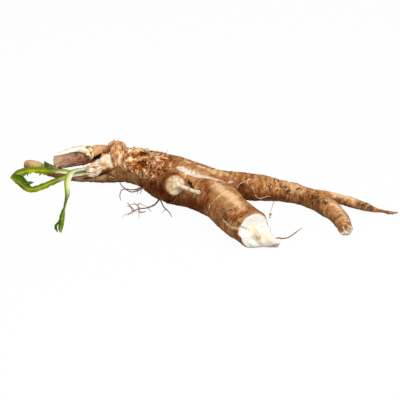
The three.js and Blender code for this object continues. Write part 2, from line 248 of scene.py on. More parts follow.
# Folds between the limbs, and sides that get painted shade.
CREVICE = [
    [-9, -4.5, 26.2, 0.5], [-7.4, -6.2, 24.6, 1.1], [-6, -9, 23.8, 0.9], [-5.2, -12, 23.4, 1.1],
    [-3.8, -14.4, 22.4, 0.6],
]
CLEFT = [
    [29.8, -4, 20, 1], [30.8, -7, 17, 1.6], [32.6, -6.4, 12.5, 1.8], [34.5, -4.6, 9, 1.4], [36, -3, 5, 1],
]
DARK_SIDES = [
    [[-33, 2, 17, 3], [-27, -4, 17, 4]],
    [[-40, 7, 12, 6], [-32, -1, 11, 8], [-22, -9, 9, 8], [-12, -14, 8, 7], [0, -20, 6, 5]],
    [[5.5, -16.8, 27, 1.4], [6.9, -24.6, 23.5, 2.6], [5, -30, 19, 3.6], [0.5, -22.8, 13, 5],
     [-6, -15, 10, 5]],
    [[27.4, -2.8, 21, 3], [33.4, -2.8, 14, 4], [37, -2.8, 9, 5.6], [42, -2, 8, 5.4], [52, 1, 6, 3.6],
     [62, 2, 6, 3]],
]
# Wear and soil, and the highlight painted on the limbs' tops.
PEELED = [
    [[64.9, 7.7, 15.2, 2.5], [70, 6, 14.8, 2.8], [77, 2.5, 14.6, 2.2]],
    [[6, 3.5, 29.4, 1], [10, 2.8, 28.8, 2], [14.4, 2.4, 27.7, 2.4], [20, 1.5, 25.8, 2], [25, 0.8, 24.2, 1]],
]
SCUFFS = [
    [[-70.5, 33.2, 9.2, 0], [-67.5, 32.3, 8.6, 0.3], [-64, 30.6, 9, 0]],
    [[-12, 14.5, 32, 0.8], [-7, 11, 31.2, 1.4]],
    [[-3, 8.5, 30.8, 0.8], [3.4, 5.7, 29.6, 1.2]],
    [[-9.2, 16.5, 32, 0.9], [-5, 15.5, 31.6, 0.4]],
]
HIGHLIT_AND_RUBBED = [
    [[12, -17, 29, 2.5], [15.5, -23, 28.6, 3], [20.5, -31, 27.8, 3.6], [25.5, -39, 27, 3.4],
     [29.5, -47.5, 25.8, 2.2]],
    [[66, 8, 15, 3.5], [78, 2, 14.5, 3]],
    [[100, 2, 10.6, 2.5], [115, -4.5, 9, 3]],
    [[-98, 38.5, 7, 2.5], [-76, 34.5, 9, 3]],
    [[93, -14, 13.6, 1], [98, -20.5, 12, 1.6], [102.5, -29, 10.6, 1.6], [105, -38, 9.4, 1.4]],
    [[-116, 51, 7.5, 3], [-132, 61, 7, 3.5]],
]
STAIN = [[19, -50, 17.5, 2], [24.6, -55.5, 20.5, 3], [29, -54, 23.5, 2.2]]
BLOTCHES = [
    [64, 4.3, 13.4, 2.2], [66, 2.5, 12, 1.5], [58.5, 6.3, 15, 1.5], [73, 2.5, 14, 1.6],
    [80.5, -0.5, 14.6, 1.8], [85.5, -9, 13, 2.4], [88.5, -12.8, 12.8, 2.8], [91.5, -16, 12.5, 2.2],
    [85.5, -13.5, 9, 1.3], [19, -50.5, 17.5, 2.2], [24.6, -56.5, 20, 1.8], [27, -60.6, 19.5, 1.4],
    [34.5, -48.5, 25.8, 1.2], [120.5, -10, 7.5, 2.6], [125, -11.5, 6, 2.6], [117, -8, 7.6, 1.6],
]
SOILED = [
    [[119, -9, 7, 3], [127, -12, 5, 3], [132, -12.5, 3, 2]],
    [[15, -46, 20, 6], [28, -58, 20, 7]],
    [[42, 4, 16, 6], [62, 6, 12, 7], [84, -5, 12, 6], [96, -18, 11, 5]],
    [[118, -9, 6.4, 2], [126, -11, 5, 3]],
    [[-10, -6, 24, 5], [-2, -13, 26, 4]],
]
HIGHEST = 35.9
VOXEL = 0.65 * MM
SMOOTHING = 6
AT_ONCE = 4000  # points whose places on a limb are found together
STUMP_BREAK = 51  # how far along the stump it broke
BRANCH_CUT = 20  # how far along the side branch it was cut
COLLAR_END = 20.2  # how far along the old shoot its collar reaches
FAINT = 0.01  # a mask fainter than this moves nothing
LIMB_BLEND = 1.2  # the width over which one limb's skin passes into another's
LEAST_SHARE = 0.03  # a limb with a smaller share of a point leaves it alone
LOOK_AROUND = 3  # how many points out a hollow is told from its surroundings


def course(stations, spacing=0.8):
    """The smooth line through stations with all their values, its tangents and the length to each point."""
    knots = np.array(stations, float)
    knots = np.vstack([2 * knots[0] - knots[1], knots, 2 * knots[-1] - knots[-2]])
    pieces = []
    for a, b, c, d in zip(knots, knots[1:], knots[2:], knots[3:]):
        steps = max(2, round(np.linalg.norm((c - b)[:3]) / spacing))
        t = np.arange(steps)[:, None] / steps
        pieces.append(b + 0.5 * t * (c - a + t * (2 * a - 5 * b + 4 * c - d + t * (3 * b - a - 3 * c + d))))
    line = np.vstack([*pieces, knots[-2]])
    tangents = np.gradient(line[:, :3], axis=0)
    tangents /= np.linalg.norm(tangents, axis=1)[:, None]
    lengths = np.concatenate([[0], np.cumsum(np.linalg.norm(np.diff(line[:, :3], axis=0), axis=1))])
    return line, tangents, lengths


def on_limb(points, stations):
    """Where points are on a limb: depth in its skin, length along it and past its end, and the way round."""
    line, tangents, lengths = course(stations)
    nearest = np.empty(len(points), int)
    for start in range(0, len(points), AT_ONCE):
        gap = points[start : start + AT_ONCE, None, :] - line[None, :, :3]
        nearest[start : start + AT_ONCE] = np.einsum("ijk,ijk->ij", gap, gap).argmin(1)
    centre, tangent = line[nearest], tangents[nearest]
    offset = points - centre[:, :3]
    ahead = (offset * tangent).sum(1)
    radial = offset - ahead[:, None] * tangent
    reach = np.linalg.norm(radial, axis=1) + 1e-9
    upwards = np.array([0.0, 0.0, 1.0]) if abs(tangents[:, 2].mean()) < 0.8 else np.array([1.0, 0.0, 0.0])
    side = np.cross(tangent, upwards)
    side /= np.linalg.norm(side, axis=1)[:, None]
    lift = np.cross(side, tangent)
    round_it = np.stack([(radial * side).sum(1), (radial * lift).sum(1)], 1) / reach[:, None]
    return centre[:, 3] - reach, lengths[nearest] + ahead, np.abs(ahead) - 0.8, round_it


def smooth(edge0, edge1, x):
    """0 up to edge0, 1 from edge1, and smooth between. Edges may run downwards."""
    t = np.clip((x - edge0) / (edge1 - edge0), 0, 1)
    return t * t * (3 - 2 * t)


body = bpy.data.objects.new("root_body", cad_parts["taproot"].data.copy())
bpy.context.scene.collection.objects.link(body)
bm = bmesh.new()
bm.from_mesh(body.data)
bmesh.ops.remove_doubles(bm, verts=bm.verts, dist=0.01 * MM)
for stations in FILLS:
    for *spot, r in course(stations, 1.5)[0]:
        ball = Matrix.Translation(Vector(spot) * MM)
        bmesh.ops.create_icosphere(bm, subdivisions=3, radius=r * MM, matrix=ball)
bm.to_mesh(body.data)
bm.free()
remesh = body.modifiers.new("even_faces", "REMESH")
remesh.mode = "VOXEL"
remesh.voxel_size = VOXEL
remesh.use_smooth_shade = True
even = bpy.data.meshes.new_from_object(body.evaluated_get(bpy.context.evaluated_depsgraph_get()))
body.modifiers.clear()
body.data = even
body.data.materials.clear()

bm = bmesh.new()
bm.from_mesh(body.data)
for _ in range(SMOOTHING):
    bmesh.ops.smooth_vert(bm, verts=bm.verts, factor=0.5, use_axis_x=True, use_axis_y=True, use_axis_z=True)
bm.to_mesh(body.data)
bm.free()


def skin_normals():
    """The way out of the skin at each of the body's points."""
    flat = np.empty(count * 3, np.float32)
    body.data.vertex_normals.foreach_get("vector", flat)
    return flat.reshape(-1, 3)


count = len(body.data.vertices)
points = np.empty(count * 3)
body.data.vertices.foreach_get("co", points)
points = points.reshape(-1, 3) / MM
x, y, z = points.T  # views: they follow the points where these are moved
normals = skin_normals().astype(float)
sunk = smooth(28.5, 31.5, x) * (x < 48) * (y > -13)
sunk *= smooth(-2, -4, y)
y += 0.9 * sunk * (-2.5 - y)  # the spur ends short of the far fork's bend

places = [on_limb(points, stations) for stations in LIMBS.values()]
depth, along, past_end, round_it = (np.array(part) for part in zip(*places))
outside = np.maximum(-depth, past_end)
home = outside.argmin(0)
share = np.exp(-(outside - outside.min(0)) / LIMB_BLEND)
share[share < LEAST_SHARE] = 0
share /= share.sum(0)
order = list(LIMBS)
inside, down_limb, whose = (dict(zip(LIMBS, part)) for part in (depth, along, share))

speckle = np.array([noise.noise(p * 0.55) for p in points])
mottle = np.array([noise.noise(p * 0.16 + Vector((9, 4, 2))) for p in points])


def near(route, soft=1.0, ragged=0.5):
    """1 on the skin near a route of points [x, y, z, half width] and 0 away from it, with a ragged edge."""
    route = np.array(route, float)
    best = np.full(count, -1e9)
    for a, b in zip(route, route[1:] if len(route) > 1 else route):
        step = (b - a)[:3]
        t = np.clip((points - a[:3]) @ step / max(step @ step, 1e-9), 0, 1)[:, None]
        spot = a + t * (b - a)
        best = np.maximum(best, spot[:, 3] - np.linalg.norm(points - spot[:, :3], axis=1))
    return smooth(-soft / 2, soft / 2, best + ragged * (speckle + mottle))


def near_any(routes, soft, ragged):
    """The same for several routes at once."""
    return np.max([near(route, soft, ragged) for route in routes], axis=0)


def spots(places):
    """Round places on the skin, each as a route of one point."""
    return [[place] for place in places]


# The snapped end of the near fork, with its tongue and the core that stands out of it.
snapped = smooth(0.5, 1.3, inside["trunk"]) * smooth(-3.5, -2.5, (points - SNAP_CENTRE) @ SNAP_AXIS)
tongue = smooth(0.3, 0.7, whose["snap_tongue"]) * smooth(-0.5, 0.1, normals[:, 2] + 0.5 * normals[:, 0])
tongue_foot = near([*SNAP_FOOT, [57, -64.4, 5.4, 2]], soft=1.0, ragged=0.3) * smooth(41, 44, x)
tongue = np.maximum(tongue, tongue_foot)
snap = np.maximum(snapped, tongue)
core = near([[*spot, 2.6] for *spot, _ in SNAP_CORE], soft=1.8, ragged=0.6)
core = np.maximum(core, near([[*spot, r - 0.5] for *spot, r in CORE_FOOT], soft=1.2, ragged=0.3)) * snap
crack = near(SKIN_CRACK, soft=0.7, ragged=0.4)
snap_line = near_any(SNAP_LINES, soft=0.6, ragged=0.15)

# The stump's broken end, the cut branch and the wound beside it.
stump_end = smooth(0.4, 1.0, inside["stump"]) * smooth(-1.6, -0.8, down_limb["stump"] - STUMP_BREAK)
cut_face = smooth(0.1, 0.6, inside["cut_branch"]) * smooth(18.5, BRANCH_CUT, down_limb["cut_branch"])
stick = smooth(0.4, 0.6, whose["branch_core"])
cut_rim = cut_face * smooth(1.5, 0.5, inside["cut_branch"]) * (1 - stick)
# the cut branch's sleeve, which gets painted shade and a rougher skin
sleeve = whose["cut_branch"] * (1 - cut_face) * smooth(12, 16, z)
wound = near(WOUND, soft=0.8, ragged=0.9)
ochre = near(OCHRE, soft=1.2, ragged=0.8)

# The torn crown: its peak and its rotten heart.
skin_top = np.interp(x, *np.array(TORN_EDGE, float).T)
skin_top += 7 * smooth(0, 6, y - np.interp(x, [-73, -50, -15], [42, 35, 7]))
torn = smooth(-0.9, 0.9, z - skin_top + 1.5 * speckle + 2 * mottle)
torn *= smooth(-70, -67, x)
torn *= smooth(-13, -17, x)
torn *= 1 - smooth(0.3, 0.6, whose["cut_branch"])
shoulder = near(SHOULDER, soft=1.2, ragged=0.5)
peak = np.maximum(torn * smooth(-53, -56, x + 3 * mottle), smooth(0.3, 0.7, whose["torn_peak"]))
peak *= 1 - shoulder
peak_cleft = near(PEAK_CLEFT, soft=1.0, ragged=0.5)
rot = torn * (1 - peak) * (1 - shoulder)
well = near_any([ROT_PITS, ROT_WELL], soft=2, ragged=1) * rot
pale_rot = np.maximum(near(ROT_BAR, soft=1, ragged=0.8), near(ROT_RIM, soft=1.5, ragged=1.2)) * rot
lumps = near(ROT_LUMPS, soft=2, ragged=1) * rot
holes = near_any(spots(ROT_HOLES), soft=1.2, ragged=1.2) * torn
mould = near_any(spots(MOULD), soft=2, ragged=1.5)

# The old shoot's stump with its collar, and the broken offshoot below them.
seam = near(SEAM, soft=1.0, ragged=0.3)
glow = near([[*spot, half + 1.3] for *spot, half in SEAM], soft=1.4, ragged=0.9)
seam_height = np.interp(x, [-84, -80, -77, -74, -72, -69], [14, 18, 20.6, 23.6, 25.6, 28.4])
stub = smooth(0.35, 0.65, whose["shoot_stump"])
stub *= smooth(COLLAR_END, COLLAR_END + 1, down_limb["shoot_stump"] + 1.2 * speckle)
collar = smooth(-67.5, -69.5, x) * smooth(-0.3, 0.4, z - seam_height) * (1 - stub) * smooth(12, 15, z)
offshoot = np.maximum(smooth(0.3, 0.7, whose["offshoot"]), shoulder) * (1 - collar)
torn_end = offshoot * smooth(-74.5, -77, x + speckle * 3)

# Folds between the limbs, painted shade and shadow, then soil, wear and a painted highlight on the tops.
crevice = near(CREVICE, soft=1.0, ragged=1.0)
cleft = near(CLEFT, soft=1.6, ragged=0.6)
# a painted shadow on the skin under the offshoot's end
shadow_under_end = near(SHADOW_UNDER_END, soft=0.8, ragged=0.4)
# Painted shade on the limbs' dark sides; its darkest part also darkens the cut branch's sleeve.
shaded = near_any(DARK_SIDES, soft=8, ragged=3)
darkest_shade = near(DARK_SIDES[0], soft=7, ragged=3)
rough = np.maximum(near(DARK_SIDES[1], soft=8, ragged=3), sleeve)
soiled = near_any(SOILED, soft=6, ragged=3)
dirt = near_any(spots(BLOTCHES), soft=3.0, ragged=2.4)
stain = near(STAIN, soft=3, ragged=2)
peeled = near_any(PEELED, soft=2.4, ragged=1.8)
scuffed = near_any(SCUFFS, soft=0.8, ragged=1.3)
# a pale highlight painted on the limbs' tops, where the skin is also rubbed
highlit_and_rubbed = near_any(HIGHLIT_AND_RUBBED, soft=5, ragged=3)
bare = np.clip(snap + wound + cut_face + stick + stump_end + rot + peak + collar + stub + offshoot, 0, 1)


def wrinkles(along, across, up, seed):
    """Rings of the skin, in millimetres: low ridges with a few sharp creases between them."""
    warped = along + 1.8 * noise.noise((0.08 * along, 1.1 * across, 1.1 * up + seed))
    ridges = noise.noise((0.6 * warped, 0.6 * across + seed, 0.6 * up))
    crease = max(0.0, 1 - 9 * abs(noise.noise((0.26 * warped, 0.5 * across, 0.5 * up - seed))))
    return 0.34 * ridges - 0.22 * crease


def strands(along, across, up, coarse):
    """Torn fibres that run along a limb, in millimetres."""
    return abs(noise.noise((0.1 * along, coarse * across, coarse * up))) - 0.25


relief = np.zeros(count)
for k in range(len(LIMBS)):
    for i in np.flatnonzero(share[k] * (1 - bare)):
        across, up = round_it[k, i]
        relief[i] += (1 - bare[i]) * share[k, i] * wrinkles(along[k, i], across, up, 7.0 * k)
for mask, limb, size, coarse in ((torn_end, "offshoot", 1.8, 3.0), (collar, "shoot_stump", 0.3, 2.0)):
    k = order.index(limb)
    for i in np.flatnonzero(mask > FAINT):
        across, up = round_it[k, i]
        relief[i] += mask[i] * size * strands(along[k, i], across, up, coarse)
for i in np.flatnonzero(peak > FAINT):
    px, py, pz = points[i]
    coarse_fibre = abs(noise.noise((0.33 * px, 0.33 * py, 0.05 * pz)))
    fine_fibre = abs(noise.noise((0.9 * px, 0.9 * py, 0.1 * pz)))
    relief[i] += peak[i] * (3.6 * coarse_fibre + 1.2 * fine_fibre - 0.8)
for i in np.flatnonzero(stub > FAINT):
    relief[i] += stub[i] * 0.5 * noise.noise(points[i] * 0.75)
for i in np.flatnonzero(rot > FAINT):
    p = Vector(points[i])
    turned = Vector((p.x + 0.8 * p.y, 1.4 * p.y - p.x, p.z))
    crumbs = noise.noise(p * 0.3) + 0.8 * abs(noise.noise(turned * 0.45)) + 0.5 * abs(noise.noise(p * 1.1))
    lengthways = p.dot(SPLINTER_WAY)
    strand = (0.16 * lengthways, 0.7 * (p.y - 0.28 * p.x), 0.7 * (p.z - 0.4 * p.x))
    splinters = abs(noise.noise(strand)) - 0.2
    splintered = float(smooth(-39, -33, p.x))
    height = (2.0 - 1.1 * splintered) * crumbs - 0.8 + 3.2 * splintered * splinters
    relief[i] += rot[i] * (1 - 0.2 * lumps[i]) * height
for i in np.flatnonzero(stump_end > FAINT):
    relief[i] += stump_end[i] * (1.6 * noise.noise(points[i] * 0.5) + 0.8 * noise.noise(points[i] * 1.1))
for i in np.flatnonzero(well > FAINT):
    relief[i] += well[i] * 1.4 * noise.noise(points[i] * 0.6)
relief -= 1.8 * well + 2.4 * seam + 1.6 * holes
relief += 0.8 * lumps + 0.6 * pale_rot
for i in np.flatnonzero(rough > FAINT):
    height = 0.5 * noise.noise(points[i] * 0.4) + 0.45 * noise.noise(points[i] * 0.9)
    relief[i] += rough[i] * (1 - bare[i]) * height
for i, p in enumerate(points):
    relief[i] += (0.45 * noise.noise(p * 0.09) + 0.2 * noise.noise(p * 0.25)) * (1 - snap[i])
relief += (
    wound * (0.7 * speckle - 0.9) - 2.4 * crevice - 1.2 * cleft - 2.2 * peak_cleft
    - 0.8 * crack - 0.8 * snap_line + 0.15 * snap * speckle
)
points += normals * relief[:, None]
peak_top = np.interp(x, *np.array(PEAK_TOP).T) - 0.53 * (y - 40) + 1.5 * speckle
in_peak = (x > -69.5) & (x < -52) & (z > 26)
points[:, 2] = np.where(in_peak, np.minimum(z, peak_top), z)
points[:, 2] = np.clip(z, 0.0, HIGHEST)
body.data.vertices.foreach_set("co", (points * MM).ravel())
body.data.update()
normals = skin_normals()

# How far each point lies below its neighbours: creases and hollows get painted shade from it.
pairs = np.empty(len(body.data.edges) * 2, np.int32)
body.data.edges.foreach_get("vertices", pairs)
pairs = pairs.reshape(-1, 2)
links_per_point = np.bincount(pairs.ravel(), minlength=count)[:, None]
around = points
for _ in range(LOOK_AROUND):
    total = np.zeros((count, 3))
    np.add.at(total, pairs[:, 0], around[pairs[:, 1]])
    np.add.at(total, pairs[:, 1], around[pairs[:, 0]])
    around = total / links_per_point
hollow = ((around - points) * normals).sum(1)
# Painted shade in the folds, under the offshoot's end and along the skin's torn edge.
gap = crevice + cleft + shadow_under_end + 3 * torn * (1 - torn) * (1 - shoulder) * smooth(-17, -20, x)

# The masks are kept on the mesh under the names that the skin's material reads.
masks = dict(
    flesh=snap, core=core, tongue=tongue, crack=crack, snap_line=snap_line, stump_end=stump_end,
    near_core=near([[*spot, 4.5] for *spot, _ in SNAP_CORE], soft=6) * snap,
    cut_face=np.maximum(cut_face, stick), cut_rim=cut_rim, cut_shade=smooth(-15, -24, x),
    wound=wound, ochre=ochre * (1 - wound), peak=peak, peak_cleft=peak_cleft,
    rot=rot, well=well, pale_rot=pale_rot, lumps=lumps, holes=holes, mould=mould * np.maximum(rot, 0.3),
    splintered=rot * smooth(-38, -26, x), seam=seam, glow=glow, collar=collar,
    stub=stub, faded_stub=0.6 * smooth(-92, -110, x), offshoot=offshoot, torn_end=torn_end,
    gap=np.clip(gap, 0, 1), hollow=hollow, shaded=shaded, sleeve=np.maximum(sleeve, darkest_shade),
    soiled=0.35 + 0.65 * soiled, dirt=dirt, stain=stain,
    peeled=peeled, scuffed=scuffed, highlit_and_rubbed=0.65 * highlit_and_rubbed,
)
for name, values in masks.items():
    kept = body.data.attributes.new(name, "FLOAT", "POINT")
    kept.data.foreach_set("value", values.astype(np.float32))
every = np.arange(count)
ring_values = np.column_stack([along[home, every], round_it[home, every]])
ring = body.data.attributes.new("ring", "FLOAT_VECTOR", "POINT")
ring.data.foreach_set("vector", ring_values.astype(np.float32).ravel())


def new_material(name, roughness, specular=0.3):
    """A node material, with its node tree, its shader and the place on the piece for patterns to read."""
    material = bpy.data.materials.new(name)
    material.use_nodes = True
    tree = material.node_tree
    shader = tree.nodes["Principled BSDF"]
    shader.inputs["Roughness"].default_value = roughness
    shader.inputs["Specular IOR Level"].default_value = specular
    return material, tree, shader, tree.nodes.new("ShaderNodeTexCoord").outputs["Object"]


def attribute(tree, name):
    """A number that the mesh keeps under a name."""
    node = tree.nodes.new("ShaderNodeAttribute")
    node.attribute_name = name
    return node.outputs["Fac"]


def noise_on(vector, scale, detail=3.0, stretch=(1, 1, 1)):
    """Noise from 0 to 1 on a vector, with its own stretch."""
    tree = vector.id_data
    mapping = tree.nodes.new("ShaderNodeMapping")
    mapping.inputs["Scale"].default_value = stretch
    tree.links.new(vector, mapping.inputs["Vector"])
    texture = tree.nodes.new("ShaderNodeTexNoise")
    texture.inputs["Scale"].default_value = scale
    texture.inputs["Detail"].default_value = detail
    tree.links.new(mapping.outputs["Vector"], texture.inputs["Vector"])
    return texture.outputs["Fac"]


def linear(colour):
    """A written sRGB colour, such as "b07f52", as the shader's linear one."""
    parts = [int(colour[i : i + 2], 16) / 255 for i in (0, 2, 4)]
    return (*(c / 12.92 if c < 0.04045 else ((c + 0.055) / 1.055) ** 2.4 for c in parts), 1)


def ramp(value, *stops):
    """Colours (position, sRGB) along a value."""
    tree = value.id_data
    node = tree.nodes.new("ShaderNodeValToRGB")
    elements = node.color_ramp.elements
    while len(elements) < len(stops):
        elements.new(0.5)
    for element, (position, colour) in zip(elements, stops):
        element.position = position
        element.color = linear(colour)
    tree.links.new(value, node.inputs["Fac"])
    return node.outputs["Color"]


def blend(share, under, over, mode="MIX"):
    """Lays one colour over another by a share. Each is a node's output or plain, and colours may be sRGB."""
    tree = next(value for value in (share, under, over) if isinstance(value, bpy.types.NodeSocket)).id_data
    node = tree.nodes.new("ShaderNodeMix")
    node.data_type = "RGBA"
    node.blend_type = mode
    for value, socket in ((share, node.inputs[0]), (under, node.inputs[6]), (over, node.inputs[7])):
        if isinstance(value, bpy.types.NodeSocket):
            tree.links.new(value, socket)
        else:
            socket.default_value = linear(value) if isinstance(value, str) else value
    return node.outputs[2]


def between(value, low, high):
    """0 up to low, 1 from high."""
    tree = value.id_data
    node = tree.nodes.new("ShaderNodeMapRange")
    node.interpolation_type = "SMOOTHSTEP"
    node.inputs["From Min"].default_value = low
    node.inputs["From Max"].default_value = high
    tree.links.new(value, node.inputs["Value"])
    return node.outputs["Result"]


skin, tree, shader, place = new_material("root_skin", 0.72, 0.12)
mask = {name: attribute(tree, name) for name in masks}


def coats(under, *layers):
    """Lays colours one after another, each where the mask of its name is high."""
    for name, colour in layers:
        under = blend(mask[name], under, colour)
    return under


ring_place = tree.nodes.new("ShaderNodeAttribute")
ring_place.attribute_name = "ring"
on_ring = ring_place.outputs["Vector"]
broad = noise_on(place, 70, 4)
rings = noise_on(on_ring, 1.0, 4, (0.42, 0.8, 0.8))
fine_rings = noise_on(on_ring, 1.0, 3, (1.3, 1.5, 1.5))
patches = noise_on(place, 190, 5)
specks = noise_on(place, 900, 2)
soil = noise_on(place, 430, 3)
grit = noise_on(place, 1300, 4)
wood = noise_on(place, 300, 3, (1, 1, 0.25))
crumb = noise_on(place, 420, 4)
# painted shade in the recesses of the peak and the rot
recess_shade = between(mask["hollow"], 0.0, 0.36)

# Brown skin: pale and dark bands and patches, painted shade in creases, folds and dark sides, clinging soil.
BROWNS = ("8c5628", "a66f3d", "be8a56", "deb585")
bands = ramp(rings, *zip((0.34, 0.46, 0.54, 0.68), BROWNS))
tones = ramp(patches, *zip((0.32, 0.46, 0.56, 0.70), BROWNS))
colour = blend(0.5, bands, tones)
for strength, shade in (
    (0.7, ramp(fine_rings, (0.33, "9c6c44"), (0.48, "ffffff"))),
    (0.6, ramp(grit, (0.34, "b88e68"), (0.5, "ffffff"))),
    (0.6, ramp(broad, (0.34, "b08560"), (0.52, "ffffff"))),
    # painted shade on the limbs' dark sides and over the cut branch's sleeve
    (mask["shaded"], "b28250"),
    (mask["sleeve"], "c0946a"),
):
    colour = blend(strength, colour, shade, "MULTIPLY")
soil_share = blend(1.0, between(soil, 0.55, 0.66), between(mask["soiled"], 0, 1), "MULTIPLY")
# painted shade in the skin's creases and hollows
colour = blend(between(mask["hollow"], 0.05, 0.40), colour, "5e3212")
colour = blend(between(specks, 0.64, 0.75), colour, "553016")
colour = blend(soil_share, colour, "43291a")
colour = coats(
    colour,
    # a pale highlight painted on the limbs' tops, where the skin is also rubbed
    ("highlit_and_rubbed", "e6c294"),
    ("peeled", ramp(rings, (0.35, "aa7c4e"), (0.6, "cca474"))),
)
colour = blend(mask["stain"], colour, "dcba94", "MULTIPLY")
dirt_share = blend(1.0, mask["dirt"], between(soil, 0.36, 0.5), "MULTIPLY")
colour = blend(dirt_share, colour, ramp(specks, (0.36, "342014"), (0.65, "66452a")))

# The finishes of the crown: the grey stub, cream flesh, the fibrous peak and the orange rot.
stub_tone = blend(0.45, specks, patches)
stub_brown = ramp(stub_tone, (0.36, "4e2e1c"), (0.47, "7e523a"), (0.58, "a6795c"), (0.70, "c6a486"))
peak_brown = ramp(wood, (0.3, "7c4426"), (0.44, "b0754a"), (0.56, "d29c6c"), (0.72, "f0cc9c"))
rot_brown = ramp(crumb, (0.32, "6e300e"), (0.44, "a8622e"), (0.53, "c88c56"), (0.64, "efd0a4"))
rot_brown = coats(rot_brown, ("lumps", ramp(crumb, (0.34, "743a18"), (0.46, "a5683c"), (0.6, "cc9868"))))
rot_brown = blend(mask["splintered"], rot_brown, "b88c66", "MULTIPLY")
rot_brown = coats(
    blend(recess_shade, rot_brown, "622a08"),
    ("pale_rot", ramp(crumb, (0.34, "a8763f"), (0.47, "dcb684"), (0.62, "f0dcb4"))),
    ("well", ramp(crumb, (0.32, "5e2604"), (0.46, "96490a"), (0.6, "c8802c"))),
    ("holes", ramp(crumb, (0.36, "4a1e06"), (0.58, "94501a"))),
)

# The cut branch's pith and the snapped end's flesh.
pith = ramp(noise_on(place, 500, 3), (0.32, "ac8e66"), (0.46, "c6ae8a"), (0.62, "dcd0b8"))
pith = blend(mask["cut_shade"], pith, "d8c4a4", "MULTIPLY")
pith = coats(pith, ("cut_rim", "a06a34"))
flesh = ramp(noise_on(place, 260, 3), (0.3, "e2dacc"), (0.5, "ece8e0"))
# the tongue, the lower part of the break, gets painted shade
flesh = coats(flesh, ("tongue", "dccfc0"), ("near_core", "e8dcc0"), ("snap_line", "d2b88e"))

colour = coats(
    colour,
    ("scuffed", ramp(grit, (0.38, "bc8e60"), (0.56, "dcc09a"))),
    ("collar", ramp(wood, (0.3, "c08c64"), (0.55, "dcaa7e"), (0.75, "ecc49a"))),
    ("stub", coats(stub_brown, ("faded_stub", "cfae94"))),
    ("offshoot", ramp(patches, (0.36, "d0905a"), (0.44, "f0c898"), (0.52, "fae4c4"), (0.64, "fff4e2"))),
    ("glow", ramp(patches, (0.4, "9a5226"), (0.6, "cf8c52"))),
    ("torn_end", ramp(crumb, (0.3, "cfa98a"), (0.42, "ead9c6"), (0.6, "f8f2e8"))),
    ("peak", blend(recess_shade, peak_brown, "5d2f1c")),
    # painted shade in the peak's cleft
    ("peak_cleft", ramp(specks, (0.4, "4a2410"), (0.65, "8a4e28"))),
    ("rot", rot_brown),
    ("mould", ramp(crumb, (0.35, "5e4c32"), (0.6, "ac9870"))),
    # painted shade in the seam's groove
    ("seam", "2c160b"),
    ("ochre", ramp(patches, (0.4, "8f5a28"), (0.6, "bc8a50"))),
    # painted shade in the folds, under the offshoot's end and along the torn edge
    ("gap", ramp(specks, (0.4, "2c1a10"), (0.65, "6b4128"))),
    ("cut_face", pith),
    ("wound", ramp(crumb, (0.32, "a88866"), (0.45, "ccbaa6"), (0.6, "dad2c8"))),
    ("flesh", flesh),
    ("stump_end", ramp(patches, (0.38, "8a5a34"), (0.45, "d2b288"), (0.53, "efe8dc"))),
    ("core", "d4be9c"),
    ("crack", "f0d6ae"),
)


def finish(shader, colour, height, strength, distance):
    """Joins a colour and a fine relief, in millimetres, to a shader."""
    tree = shader.id_data
    tree.links.new(colour, shader.inputs["Base Color"])
    bump = tree.nodes.new("ShaderNodeBump")
    bump.inputs["Strength"].default_value = strength
    bump.inputs["Distance"].default_value = distance * MM
    tree.links.new(height, bump.inputs["Height"])
    tree.links.new(bump.outputs["Normal"], shader.inputs["Normal"])


finish(shader, colour, blend(mask["rot"], fine_rings, crumb), 0.6, 0.35)
body.data.materials.append(skin)
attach(body, "root")
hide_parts("taproot")

# ---------------------------------------------------------------------------------------------------------
# The folds of the torn peak: ribs of dry tissue that tore upwards and hang down its near face. They grew
# with the body. The left ones still carry bark, and the right ones are pale inner tissue.

FOLD_REACH = 0.7  # how near a rib the skin that it lies on is looked for
FOLD_TIP = 0.12
FOLD_STATIONS = 7
FOLD_DETAIL = (260, 4)
rng = np.random.default_rng(17)


def mottled(name, roughness, specular, scale, detail, *stops, stretch=(1, 1, 1)):
    """A finish whose colours follow one noise through the piece."""
    material, tree, shader, place = new_material(name, roughness, specular)
    colour = ramp(noise_on(place, scale, detail, stretch), *stops)
    tree.links.new(colour, shader.inputs["Base Color"])
    return material


def threads(runs, sides=8):
    """Thin round strands, each through its own points [x, y, z, r], as one mesh."""
    curve = bpy.data.curves.new("strands", "CURVE")
    curve.dimensions = "3D"
    curve.bevel_depth = MM
    curve.bevel_resolution = sides // 2 - 2
    curve.use_fill_caps = True
    for run in runs:
        line = course(run, 0.7)[0]
        strand = curve.splines.new("POLY")
        strand.points.add(len(line) - 1)
        for point, station in zip(strand.points, line):
            point.co = (*station[:3] * MM, 1)
            point.radius = station[3]
    drawn = bpy.data.objects.new("strands", curve)
    bpy.context.scene.collection.objects.link(drawn)
    mesh = bpy.data.meshes.new_from_object(drawn.evaluated_get(bpy.context.evaluated_depsgraph_get()))
    bpy.data.objects.remove(drawn)
    bm = bmesh.new()
    bm.from_mesh(mesh)
    bmesh.ops.remove_doubles(bm, verts=bm.verts, dist=0.001 * MM)
    return bm


def finish_piece(bm, name, material, slot, *nodes_replaced):
    """Makes the piece's object, rides it on the root and hides the CAD nodes that it stands for."""
    bmesh.ops.recalc_face_normals(bm, faces=bm.faces)
    mesh = bpy.data.meshes.new(name)
    bm.to_mesh(mesh)
    bm.free()
    mesh.shade_smooth()
    mesh.materials.append(material)
    piece = bpy.data.objects.new(name, mesh)
    bpy.context.scene.collection.objects.link(piece)
    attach(piece, "root")
    if nodes_replaced:
        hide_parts(*nodes_replaced)


